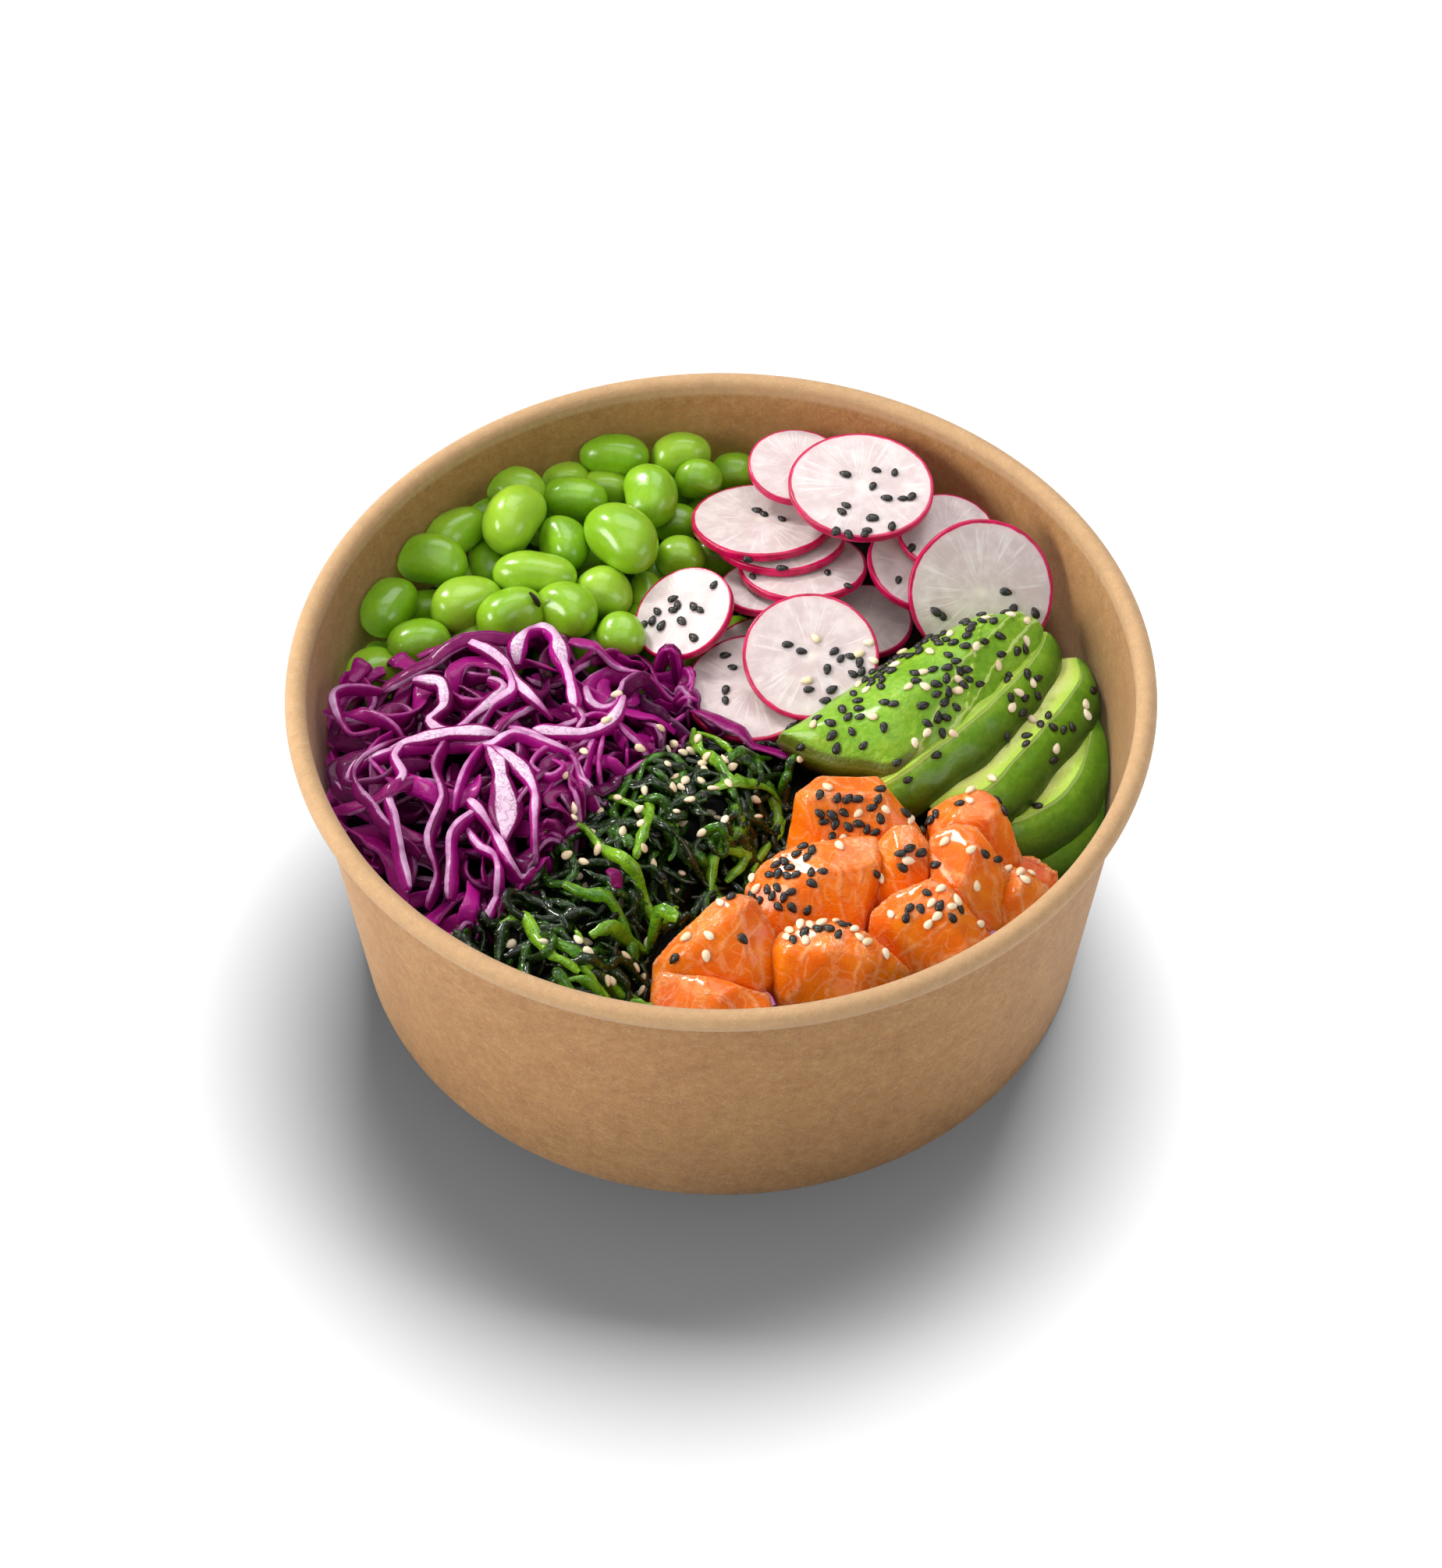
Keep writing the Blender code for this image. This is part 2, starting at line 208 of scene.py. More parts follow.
class Shaper(Graph):  # a geometry tree with named inputs
    def __init__(self, name, inputs):
        super().__init__(bpy.data.node_groups.new(name, "GeometryNodeTree"))
        self.tree.interface.new_socket("Geometry", in_out="INPUT", socket_type="NodeSocketGeometry")
        self.tree.interface.new_socket("Geometry", in_out="OUTPUT", socket_type="NodeSocketGeometry")
        for label, kind in {**inputs, "Finish": "Material"}.items():
            self.tree.interface.new_socket(label, in_out="INPUT", socket_type=f"NodeSocket{kind}")
        self.given = self.node("NodeGroupInput").outputs

    def named(self, label, kind="FLOAT"):
        return self.node("GeometryNodeInputNamedAttribute", {"data_type": kind}, {"Name": label}).outputs[0]

    def capture(self, geometry, domain, fields):
        made = self.node("GeometryNodeCaptureAttribute", {"domain": domain}, {"Geometry": geometry})
        for label, value in fields.items():
            made.capture_items.new("VECTOR", label)
            self.feed(made.inputs[label], value)
        return [made.outputs["Geometry"]] + [made.outputs[label] for label in fields]

    def store(self, geometry, label, value):
        return self.node("GeometryNodeStoreNamedAttribute", {"data_type": "FLOAT", "domain": "POINT"}, {
            "Geometry": geometry, "Name": label, "Value": value}).outputs[0]

    def close(self, geometry):
        real = self.node("GeometryNodeRealizeInstances", None, {0: geometry}).outputs[0]
        smooth = self.node("GeometryNodeSetShadeSmooth", None, {"Geometry": real}).outputs[0]
        done = self.node("GeometryNodeSetMaterial", None, {
            "Geometry": smooth, "Material": self.given["Finish"]}).outputs[0]
        self.node("NodeGroupOutput", None, {0: done})


def meshOf(name, points, faces=(), edges=()):
    mesh = bpy.data.meshes.new(name)
    mesh.from_pydata(points, edges, faces)
    return mesh


def show(name, mesh):
    made = bpy.data.objects.new(name, mesh)
    bpy.context.scene.collection.objects.link(made)
    return made


def write(mesh, label, values):  # stores one number, or one vector, for each point
    values = np.asarray(values, np.float32)
    kind, field = ("FLOAT", "value") if values.ndim == 1 else ("FLOAT_VECTOR", "vector")
    mesh.attributes.new(label, kind, "POINT").data.foreach_set(field, values.ravel())


def settle(obj):  # turns what the modifiers make into a plain mesh
    mesh = bpy.data.meshes.new_from_object(obj.evaluated_get(bpy.context.evaluated_depsgraph_get()))
    obj.modifiers.clear()
    obj.data = mesh


def opened(mesh):
    build = bmesh.new()
    build.from_mesh(mesh)
    return build


def closed(build, mesh):
    build.to_mesh(mesh)
    build.free()
    return mesh


def outward(mesh):
    build = opened(mesh)
    bmesh.ops.recalc_face_normals(build, faces=build.faces[:])
    closed(build, mesh)


def dressed(mesh, material):
    mesh.shade_smooth()
    mesh.materials.clear()
    mesh.materials.append(material)


def grow(obj, shaper, values):
    modifier = obj.modifiers.new(shaper.tree.name, "NODES")
    modifier.node_group = shaper.tree
    for item in shaper.tree.interface.items_tree:
        if item.in_out == "INPUT" and item.name in values:
            modifier[item.identifier] = values[item.name]
    settle(obj)


laid = []  # the meshes of the toppings, which the seeds are dropped on


def keep(obj, slot, replaced=()):
    subject.objects.link(obj)
    if slot == "kraft_paper":
        obj.visible_diffuse = False  # keeps the brown of the paper off the floor
    else:
        drawIn(obj.data, insideAt)
        laid.append(obj.data)
    print(obj.name, sum(len(face.vertices) - 2 for face in obj.data.polygons), "triangles")
    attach(obj, "root")
    if replaced:
        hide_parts(*replaced)


def drawIn(mesh, limitAt):  # draws in the points that lie further out than limitAt(height)
    for point in mesh.vertices:
        away = math.hypot(point.co.x, point.co.y)
        limit = limitAt(point.co.z)
        if away > limit:
            point.co.x *= limit / away
            point.co.y *= limit / away


def merged(node):  # a copy of a CAD solid with its corners joined
    build = opened(cadNodes[node].data)
    bmesh.ops.remove_doubles(build, verts=build.verts[:], dist=0.01 * mm)
    return build


def surfaceOf(*meshes):
    points, faces = [], []
    for mesh in meshes:
        start = len(points)
        points += [point.co.copy() for point in mesh.vertices]
        faces += [[start + index for index in face.vertices] for face in mesh.polygons]
    return BVHTree.FromPolygons(points, faces)


def drop(surface, x, y):  # the highest place of a surface at x, y and its slope
    spot, normal, _, _ = surface.ray_cast(Vector((x, y, overhead)), -up)
    return spot, normal


def numbered(prefix):
    return sorted(name for name in cadNodes if name.startswith(prefix))


def pushed(mesh, amount):  # moves each point along its normal by amount(point)
    build = opened(mesh)
    build.normal_update()
    places = [point.co + point.normal * amount(point.co) for point in build.verts]
    for point, place in zip(build.verts, places):
        point.co = place
    closed(build, mesh)


def bend(mesh, rounds=3, share=0.97):
    # 0 where a surface is flat or hollow, up to 1 along its edges; share of the points stay under 1
    build = opened(mesh)
    build.normal_update()
    values = []
    for point in build.verts:
        near = [edge.other_vert(point) for edge in point.link_edges]
        middle = sum((other.normal for other in near), Vector()) / max(len(near), 1)
        outside = sum(((point.co - other.co).dot(point.normal) for other in near)) / max(len(near), 1)
        values.append((1 - min(middle.length, 1)) * (outside > 0))
    for _ in range(rounds):
        values = [(values[point.index] + sum(values[edge.other_vert(point).index]
                                             for edge in point.link_edges))
                  / (1 + len(point.link_edges)) for point in build.verts]
    build.free()
    most = sorted(values)[int(len(values) * share)] or 1
    return [min(value / most, 1) for value in values]


view = {
    "away": 1000 * mm,
    "elevation": 49.66,  # degrees over the floor
    "aim": 41.4 * mm,  # height of the point it looks at
    "lens": 105.4,
    "sensor": 36,
}
studio = {
    "floor": 6.0,  # metres along each side
    "floorShade": (0.92, 0.92, 0.93, 1),
    "world": (1.0, 1.0, 1.0, 1),
    "worldStrength": 0.27,
    # name: place, width and height in metres, watts, colour, and whether it lights the floor or all the rest
    "lamps": {
        "backdrop": ((0.14, 0.88, 1.78), (1.2, 1.0), 56.0, (1.0, 1.0, 1.0), True),
        "sky": ((0.25, 1.0, 1.5), (1.1, 1.1), 11.0, (1.0, 1.0, 1.0), False),
        "top": ((0.0, -0.35, 1.8), (1.3, 1.3), 7.0, (1.0, 1.0, 1.0), False),
        "window": ((-0.8, 0.9, 1.1), (0.32, 0.32), 14.0, (1.0, 0.99, 0.97), False),
        "left": ((-1.65, -0.5, 0.85), (0.9, 0.9), 29.0, (1.0, 0.99, 0.97), False),
        "right": ((1.35, -0.8, 0.9), (0.9, 0.9), 6.0, (1.0, 1.0, 1.0), False),
    },
}
backdrop = bpy.data.collections.new("backdrop")
subject = bpy.data.collections.new("subject")


def setCamera():
    camera = bpy.data.objects.new("camera", bpy.data.cameras.new("camera"))
    tilt = math.radians(view["elevation"])
    camera.location = (0, -view["away"] * math.cos(tilt), view["aim"] + view["away"] * math.sin(tilt))
    camera.rotation_euler = (math.pi / 2 - tilt, 0, 0)
    camera.data.lens = view["lens"]
    camera.data.sensor_width = view["sensor"]
    bpy.context.scene.collection.objects.link(camera)
    bpy.context.scene.camera = camera


def setStudio():
    half = studio["floor"] / 2
    corners = [(-half, -half, 0), (half, -half, 0), (half, half, 0), (-half, half, 0)]
    floor = show("floor", meshOf("floor", corners, [(0, 1, 2, 3)]))
    paint = Paint("floorWhite", {"Base Color": studio["floorShade"], "Roughness": 0.9,
                                 "Specular IOR Level": 0.1})
    floor.data.materials.append(paint.material)
    for group in (backdrop, subject):
        bpy.context.scene.collection.children.link(group)
    backdrop.objects.link(floor)
    for name, (place, size, power, tone, onFloor) in studio["lamps"].items():
        lamp = bpy.data.lights.new(name, "AREA")
        lamp.shape = "RECTANGLE"
        lamp.size, lamp.size_y = size
        lamp.energy = power
        lamp.color = tone
        made = bpy.data.objects.new(name, lamp)
        made.location = place
        toAim = Vector((0, 0, view["aim"])) - Vector(place)
        made.rotation_euler = toAim.to_track_quat("-Z", "Y").to_euler()
        made.light_linking.receiver_collection = backdrop if onFloor else subject
        bpy.context.scene.collection.objects.link(made)
    world = bpy.data.worlds.new("studio")
    world.use_nodes = True
    back = world.node_tree.nodes["Background"]
    back.inputs["Color"].default_value = studio["world"]
    back.inputs["Strength"].default_value = studio["worldStrength"]
    bpy.context.scene.world = world
    bpy.context.scene.view_settings.view_transform = "Standard"


setCamera()
setStudio()
print("camera, floor and light")


bowl = {
    "steps": 240,
    "roll": 2.3 * mm,
    "wall": 0.8 * mm,
    "foot": 2.0 * mm,
    "recess": 6.0 * mm,
    "base": 1.0 * mm,
    "baseRadius": 80.2 * mm,
    "bead": 0.35 * mm,
    "beadHeight": 1.8 * mm,
    "beadDown": 2.2 * mm,  # from the top of the wall to the middle of the bead
    "rimOver": (1.3 * mm, 1.9 * mm),  # from the top of the wall out and up to the middle of the rolled rim
    "fillet": 3 * mm,
    "clearance": 0.4 * mm,  # between the wall and the food
    "shadeDepth": 9 * mm,  # over which the painted shade inside the bowl deepens below the rim
}
rollMiddle = Vector((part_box("bowl")[1].x - bowl["roll"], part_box("bowl")[1].z - bowl["roll"]))
wallTop = Vector((rollMiddle.x - bowl["rimOver"][0], rollMiddle.y - bowl["rimOver"][1]))


def wallAt(height):  # the outer radius of the wall
    return bowl["baseRadius"] + (wallTop.x - bowl["baseRadius"]) * height / wallTop.y


def insideAt(height):  # how far out the food may reach
    return wallAt(min(height, wallTop.y)) - bowl["wall"] - bowl["clearance"]


def bowlProfile():  # radius and height, from the middle of the floor over the rim to the middle underneath
    floor = bowl["recess"] + bowl["base"]
    flat = wallAt(floor) - bowl["wall"] - bowl["fillet"]
    pole = 0.001 * mm
    rows = 24
    points = [(pole, floor), (flat, floor)]
    points += [(flat + bowl["fillet"] * math.sin(a), floor + bowl["fillet"] * (1 - math.cos(a)))
               for a in np.radians(range(15, 90, 25))]
    points += [(wallAt(height) - bowl["wall"], height)
               for height in np.linspace(floor + bowl["fillet"] + 1 * mm, wallTop.y, rows)]
    for angle in range(165, -121, -15):
        turn = math.radians(angle)
        points.append((rollMiddle.x + bowl["roll"] * math.cos(turn),
                       rollMiddle.y + bowl["roll"] * math.sin(turn)))
    points.append((wallTop.x + 0.15 * mm, wallTop.y))
    beadMiddle = wallTop.y - bowl["beadDown"]
    for angle in range(90, -91, -30):
        turn = math.radians(angle)
        height = beadMiddle + bowl["beadHeight"] / 2 * math.sin(turn)
        points.append((wallAt(height) + bowl["bead"] * math.cos(turn), height))
    points += [(wallAt(height), height) for height in np.linspace(beadMiddle - 2 * mm, 1.0 * mm, rows)]
    points += [(bowl["baseRadius"] - 0.1 * mm, 0.3 * mm), (bowl["baseRadius"] - 0.4 * mm, 0)]
    foot = bowl["baseRadius"] - bowl["foot"]
    points += [(foot, 0), (foot - 0.1 * mm, 0.4 * mm), (foot - 0.3 * mm, bowl["recess"]),
               (pole, bowl["recess"])]
    return points


def paintKraft():
    paint = Paint("kraftPaper", {"IOR": 1.45, "Sheen Weight": 0.15, "Sheen Roughness": 0.5})
    blotch = paint.noise(9 * mm, 3, 0.6)
    cloud = paint.noise(2.2 * mm, 4, 0.65)
    grain = paint.noise(0.45 * mm, 2, 0.7)
    fibre = paint.noise(1.9 * mm, 3, 0.6, wander=1.2).band(0.5, 0.035)
    fleck = paint.noise(1.3 * mm, 2, 0.5, at=paint.vector("ADD", paint.place, (0.3, 0.1, 0.7)),
                        wander=2.0).band(0.55, 0.02)
    tone = cloud * 0.45 + blotch * 0.25 + grain * 0.3
    base = paint.ramp(tone, (0.30, colour("90602F")), (0.5, colour("AE7B42")), (0.72, colour("C5965C")))
    base = paint.mix(fibre * 0.35, base, colour("D6B386"))
    base = paint.mix(fleck * 0.35, base, colour("8C643C"))
    # the rolled rim is paler: partly its smoother paper, partly a painted highlight
    rim = paint.split(paint.place)[2].rise(cadBounds[1].z - 4.6 * mm, cadBounds[1].z - 3 * mm)
    base = paint.mix(rim * 0.35, base, colour("DCC09A"))
    # painted shade: the inside of the bowl turns darker and browner further below the rim
    base = paint.mix(paint.value("inside") * 0.4, base, colour("7C5820"))
    height = cloud * 0.5 + grain * 0.35 + fibre * 0.3
    rough = 0.62 + grain * 0.2
    return paint.finish(Base_Color=base, Roughness=rough, Normal=paint.bump(height, 0.09 * mm))


def makeBowl():
    points = bowlProfile()
    mesh = meshOf("bowl_shell", [(r, 0, z) for r, z in points],
                  edges=[(i, i + 1) for i in range(len(points) - 1)])
    made = show("bowl_shell", mesh)
    screw = made.modifiers.new("turn", "SCREW")
    screw.axis = "Z"
    screw.steps = bowl["steps"]
    screw.render_steps = bowl["steps"]
    screw.use_merge_vertices = True
    screw.merge_threshold = 0.01 * mm
    settle(made)
    outward(made.data)
    places = [point.co for point in made.data.vertices]
    inner = [math.hypot(place.x, place.y) < wallAt(place.z) - bowl["wall"] / 2 for place in places]
    # painted shade for the inner side: 0 at the rim, growing to 1 over shadeDepth below it
    write(made.data, "inside", [min(max((wallTop.y - place.z) / bowl["shadeDepth"], 0), 1) * within
                                for place, within in zip(places, inner)])
    dressed(made.data, paintKraft())
    keep(made, "kraft_paper", ["bowl"])


makeBowl()
print("bowl")


def strandShaper():
    # sweeps a four-sided strip, wide as the attributes leaf and cut say, along each chain of edges
    shaper = Shaper("strands", {"Smoothness": "Int", "Corner": "Float", "Lump Size": "Float",
                                "Lump Height": "Float"})
    given = shaper.given
    line = shaper.node("GeometryNodeMeshToCurve", None, {0: given["Geometry"]}).outputs[0]
    line = shaper.node("GeometryNodeCurveSplineType", {"spline_type": "CATMULL_ROM"},
                       {"Curve": line}).outputs[0]
    line = shaper.node("GeometryNodeSetSplineResolution", None, {
        "Geometry": line, "Resolution": given["Smoothness"]}).outputs[0]
    line = shaper.node("GeometryNodeSetCurveNormal", {"mode": "Z_UP"}, {"Curve": line}).outputs[0]
    line = shaper.node("GeometryNodeSetCurveTilt", None, {
        "Curve": line, "Tilt": shaper.named("roll")}).outputs[0]
    line = shaper.node("GeometryNodeResampleCurve", {"mode": "EVALUATED"}, {"Curve": line}).outputs[0]
    line, place, side, along = shaper.capture(line, "POINT", {
        "place": shaper.node("GeometryNodeInputPosition").outputs[0],
        "side": shaper.node("GeometryNodeInputNormal").outputs[0],
        "along": shaper.node("GeometryNodeInputTangent").outputs[0]})
    ring = shaper.node("GeometryNodeCurvePrimitiveQuadrilateral", None,
                       {"Width": 2.0, "Height": 2.0}).outputs[0]
    ring = shaper.node("GeometryNodeFilletCurve", {"mode": "POLY"}, {
        "Curve": ring, "Radius": given["Corner"], "Count": 1}).outputs[0]
    ring, section = shaper.capture(ring, "POINT", {
        "section": shaper.node("GeometryNodeInputPosition").outputs[0]})
    tube = shaper.node("GeometryNodeCurveToMesh", None, {
        "Curve": line, "Profile Curve": ring, "Fill Caps": True}).outputs[0]
    across, through, _ = shaper.split(section)
    leaf = Num(shaper, shaper.named("leaf"))
    cut = Num(shaper, shaper.named("cut"))
    upright = shaper.vector("CROSS_PRODUCT", along, side)
    spot = shaper.vector("ADD", place, shaper.scaled(side, across * leaf * 0.5))
    spot = shaper.vector("ADD", spot, shaper.scaled(upright, through * cut * 0.5))
    tube = shaper.node("GeometryNodeSetPosition", None, {"Geometry": tube, "Position": spot}).outputs[0]
    wave = shaper.node("ShaderNodeTexNoise", None, {
        "Scale": 1 / Num(shaper, given["Lump Size"]), "Detail": 1.0})
    lump = (Num(shaper, wave.outputs[0]) - 0.5) * Num(shaper, given["Lump Height"])
    normal = shaper.node("GeometryNodeInputNormal").outputs[0]
    tube = shaper.node("GeometryNodeSetPosition", None, {
        "Geometry": tube, "Offset": shaper.scaled(normal, lump)}).outputs[0]
    tube = shaper.store(tube, "across", across)
    tube = shaper.store(tube, "through", through)
    shaper.close(tube)
    return shaper


def scatterShaper():
    # puts a copy of a shape at each point, turned and sized by the attributes turn and size
    shaper = Shaper("scatter", {"Shape": "Object"})
    shape = shaper.node("GeometryNodeObjectInfo", None, {"Object": shaper.given["Shape"]}).outputs["Geometry"]
    angles = shaper.named("turn", "FLOAT_VECTOR")
    turn = shaper.node("FunctionNodeEulerToRotation", None, {0: angles}).outputs[0]
    copies = shaper.node("GeometryNodeInstanceOnPoints", None, {
        "Points": shaper.given["Geometry"], "Instance": shape, "Rotation": turn,
        "Scale": shaper.named("size", "FLOAT_VECTOR")}).outputs[0]
    shaper.close(copies)
    return shaper


strands = strandShaper()
scatter = scatterShaper()


def sweep(name, routes, material, smoothness=2, corner=0.45, lumpSize=3 * mm, lumpHeight=0.3 * mm):
    # each route is a list of points, each point a place, a leaf width, a cut width, a roll and a tone
    points, edges, columns = [], [], {"leaf": [], "cut": [], "roll": [], "tone": []}
    for route in routes:
        start = len(points)
        for place, leaf, cut, roll, tone in route:
            points.append(place)
            for label, value in zip(columns, (leaf, cut, roll, tone)):
                columns[label].append(value)
        edges += [(index, index + 1) for index in range(start, len(points) - 1)]
    mesh = meshOf(name, points, edges=edges)
    for label, values in columns.items():
        write(mesh, label, values)
    made = show(name, mesh)
    grow(made, strands, {"Smoothness": smoothness, "Corner": corner, "Lump Size": lumpSize,
                         "Lump Height": lumpHeight, "Finish": material})
    outward(made.data)
    return made


def strew(name, shape, places, material):
    # places: a place, a turn (Euler), a size along each axis and a tone
    mesh = meshOf(name, [place for place, _, _, _ in places])
    write(mesh, "turn", [tuple(turn) for _, turn, _, _ in places])
    write(mesh, "size", [tuple(size) for _, _, size, _ in places])
    write(mesh, "tone", [tone for _, _, _, tone in places])
    made = show(name, mesh)
    helper = show("shape", shape)
    grow(made, scatter, {"Shape": helper, "Finish": material})
    bpy.data.objects.remove(helper)
    return made


grid = {
    "reach": 96 * mm,
    "cell": 1.0 * mm,
    "floor": 40 * mm,  # where nothing lies yet
    "empty": 50 * mm,  # the goal where no solid is
}


def nearby(values, reach=2):  # each value with its neighbours
    return [values[max(0, k - reach):k + reach + 1] for k in range(len(values))]


class Pile:  # how high a heap has grown so far, on a grid seen from above
    def __init__(self, node, depth, spill=2):
        self.cell = cell = grid["cell"]
        self.count = int(grid["reach"] / cell)
        width = 2 * self.count + 1
        self.top = np.full((width, width), grid["floor"])
        self.goal = np.full((width, width), grid["empty"])
        mine = np.zeros((width, width), bool)
        others = surfaceOf(*[cadNodes[name].data for name in cadNodes if name not in ("bowl", node)])
        own = surfaceOf(cadNodes[node].data)
        for i in range(width):
            for j in range(width):
                x, y = (i - self.count) * cell, (j - self.count) * cell
                heap, _ = drop(own, x, y)
                other, _ = drop(others, x, y)
                if other:
                    self.top[i, j] = self.goal[i, j] = other.z
                if heap and (other is None or heap.z > other.z):
                    mine[i, j] = True
                    self.goal[i, j] = heap.z
                    self.top[i, j] = heap.z - depth
        self.mine = self.widest(self.spread(~self.spread(~mine, 2), 2) & mine)
        for _ in range(6):
            share = self.blurred(self.mine.astype(float)).clip(0.01)
            self.goal[self.mine] = (self.blurred(self.goal * self.mine) / share)[self.mine]
        self.top[self.mine] = self.goal[self.mine] - depth
        self.open = self.spread(self.mine, spill)
        others = mine & ~self.spread(self.mine, 1)
        self.rest = self.spread(~self.spread(~others, 1), 1) & others  # what shows elsewhere

    def blurred(self, field):
        wide = np.pad(field, 1, mode="edge")
        return sum(wide[i:i + field.shape[0], j:j + field.shape[1]] for i in range(3) for j in range(3)) / 9

    def grown(self, field):  # the largest of each cell and its four neighbours
        wide = field.copy()
        wide[1:] = np.maximum(wide[1:], field[:-1])
        wide[:-1] = np.maximum(wide[:-1], field[1:])
        wide[:, 1:] = np.maximum(wide[:, 1:], field[:, :-1])
        wide[:, :-1] = np.maximum(wide[:, :-1], field[:, 1:])
        return wide

    def spread(self, mask, reach):
        for _ in range(reach):
            mask = self.grown(mask)
        return mask

    def hem(self, over, reach=4):  # lets the neighbours count as no higher than the heap beside them
        near = np.where(self.mine, self.goal, 0)
        for _ in range(reach):
            near = np.where(self.mine, near, self.grown(near))
        beside = (near > 0) & ~self.mine
        self.top[beside] = np.minimum(self.top, near + over)[beside]

    def widest(self, mask):  # the largest connected part
        left, best = set(map(tuple, np.argwhere(mask))), set()
        while left:
            front = [left.pop()]
            part = set(front)
            while front:
                i, j = front.pop()
                for near in ((i + 1, j), (i - 1, j), (i, j + 1), (i, j - 1)):
                    if near in left:
                        left.discard(near)
                        part.add(near)
                        front.append(near)
            best = max(best, part, key=len)
        found = np.zeros_like(mask)
        found[tuple(np.array(list(best)).T)] = True
        return found

    def cellOf(self, x, y):
        limit = 2 * self.count
        i = min(max(round(x / self.cell) + self.count, 0), limit)
        j = min(max(round(y / self.cell) + self.count, 0), limit)
        return i, j

    def around(self, x, y, radius):
        i, j = self.cellOf(x, y)
        reach = max(1, round(radius / self.cell))
        return slice(max(i - reach, 0), i + reach + 1), slice(max(j - reach, 0), j + reach + 1)

    def hollow(self, chance):  # one of the places that still lack the most
        lack = np.where(self.mine, self.goal - self.top, -1)
        spots = np.argwhere(lack >= np.quantile(lack[self.mine], 0.85))
        i, j = spots[chance.randrange(len(spots))]
        return (i - self.count) * self.cell, (j - self.count) * self.cell

    def lacking(self):
        return float((self.goal - self.top)[self.mine].mean())

    def lay(self, plan, radius, height, lifts=None, over=1 * mm):
        # heights of a strand laid along a plan over what is there, and not far over the goal
        rest = [float(self.top[self.around(x, y, radius)].max()) for x, y in plan]
        raised = [(max(window) + sum(window) / len(window)) / 2 for window in nearby(rest)]
        middle = []
        for (x, y), window, lift in zip(plan, nearby(raised), lifts or [0] * len(plan)):
            level = sum(window) / len(window) + height / 2
            level = min(level, float(self.goal[self.cellOf(x, y)]) + over) + lift
            middle.append(level)
            window = self.around(x, y, radius * 0.6)
            self.top[window] = np.maximum(self.top[window], level + height * 0.35)
        return middle


def wander(chance, pile, start, heading, length, step, curl, limit=84 * mm):
    # a smooth random path seen from above, which turns back where it leaves its heap
    plan = [start]
    bend = chance.gauss(0, curl)
    for _ in range(int(length / step)):
        bend = 0.8 * bend + chance.gauss(0, curl * 0.55)
        for turn in (0, 0.5, -0.5, 1, -1, 1.6, -1.6, 2.2, -2.2):
            way = heading + bend * step + turn
            x = plan[-1][0] + step * math.cos(way)
            y = plan[-1][1] + step * math.sin(way)
            if math.hypot(x, y) < limit and pile.open[pile.cellOf(x, y)]:
                break
        else:
            break
        heading = way
        if turn:
            bend = turn * 0.2 / step
        plan.append((x, y))
    return plan


def eased(route, step):
    # a smooth line through a few chosen points, as points a step apart
    points = [Vector(point) for point in route]
    line = []
    for k in range(len(points) - 1):
        before, here, there, after = (points[max(k - 1, 0)], points[k], points[k + 1],
                                      points[min(k + 2, len(points) - 1)])
        count = max(2, round((there - here).length / step))
        for part in range(count):
            t = part / count
            line.append(0.5 * (2 * here + (there - before) * t
                               + (2 * before - 5 * here + 4 * there - after) * t * t
                               + (3 * here - before - 3 * there + after) * t ** 3))
    line.append(points[-1])
    return line


def chosenPlan(pile, places, step, radius, cut):
    # a listed strand, as a plan and its heights over what is there
    line = eased(places, step)
    plan = [(x * mm, y * mm) for x, y, _ in line]
    return plan, pile.lay(plan, radius, cut * 0.8 * mm, [z * mm for _, _, z in line])


def rollWalk(chance, count, start, reach):
    roll, pace = start, 0.0
    rolls = []
    for _ in range(count):
        pace = 0.8 * pace + chance.gauss(0, reach)
        roll += pace - 0.05 * (roll - start)
        rolls.append(roll)
    return rolls


def archOf(count, height, middle, reach):  # lifts of a strand that arches over the others
    return [height * math.exp(-((k / count - middle) / reach) ** 2) for k in range(count)]


def ribbon(plan, levels, rolls, leaf, cut, tone, swell, vary, tip):
    # a route for sweep; vary: how much and how fast its width changes, tip: its width at an end and the
    # gain at each point from there
    route = []
    for k, ((x, y), z) in enumerate(zip(plan, levels)):
        taper = min(1, tip[0] + min(k, len(plan) - 1 - k) * tip[1])
        wide = leaf * (1 + vary[0] * noise.noise(Vector((k * vary[1], swell, 0)))) * taper
        route.append(((x, y, z), wide, cut * taper, rolls[k], tone))
    return route


def heapCore(kind, slot, core):
    # the heap's own outline, lowered and drawn in a little, which fills the gaps between what lies on it and
    # is coloured as painted shade
    node = kind + "_heap"
    build = merged(node)
    bmesh.ops.subdivide_edges(build, edges=build.edges[:], cuts=1, use_grid_fill=True)
    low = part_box(node)[0].z
    deep, wide = 50 * mm, 80 * mm  # the height and the radius where it is lowered and drawn in fully
    for point in build.verts:
        share = min(max((point.co.z - low) / deep, 0), 1)
        point.co.z -= core["sink"] * share
        middle = Vector((point.co.x, point.co.y)).length
        if middle > 1 * mm:
            point.co.x *= 1 - core["inset"] / middle * min(middle / wide, 1)
            point.co.y *= 1 - core["inset"] / middle * min(middle / wide, 1)
        point.co.z += core["lump"] * noise.noise(point.co / core["lumpSize"]) * share
    mesh = closed(build, bpy.data.meshes.new(kind + "_core"))
    made = show(kind + "_core", mesh)
    # painted shade: the core's dark colour stands for the shade deep in the gaps
    dark = Paint(kind + "Deep", {"Base Color": colour(core["shade"]), "Roughness": core["rough"],
                                 "Specular IOR Level": core["gloss"]})
    dressed(mesh, dark.material)
    keep(made, slot)


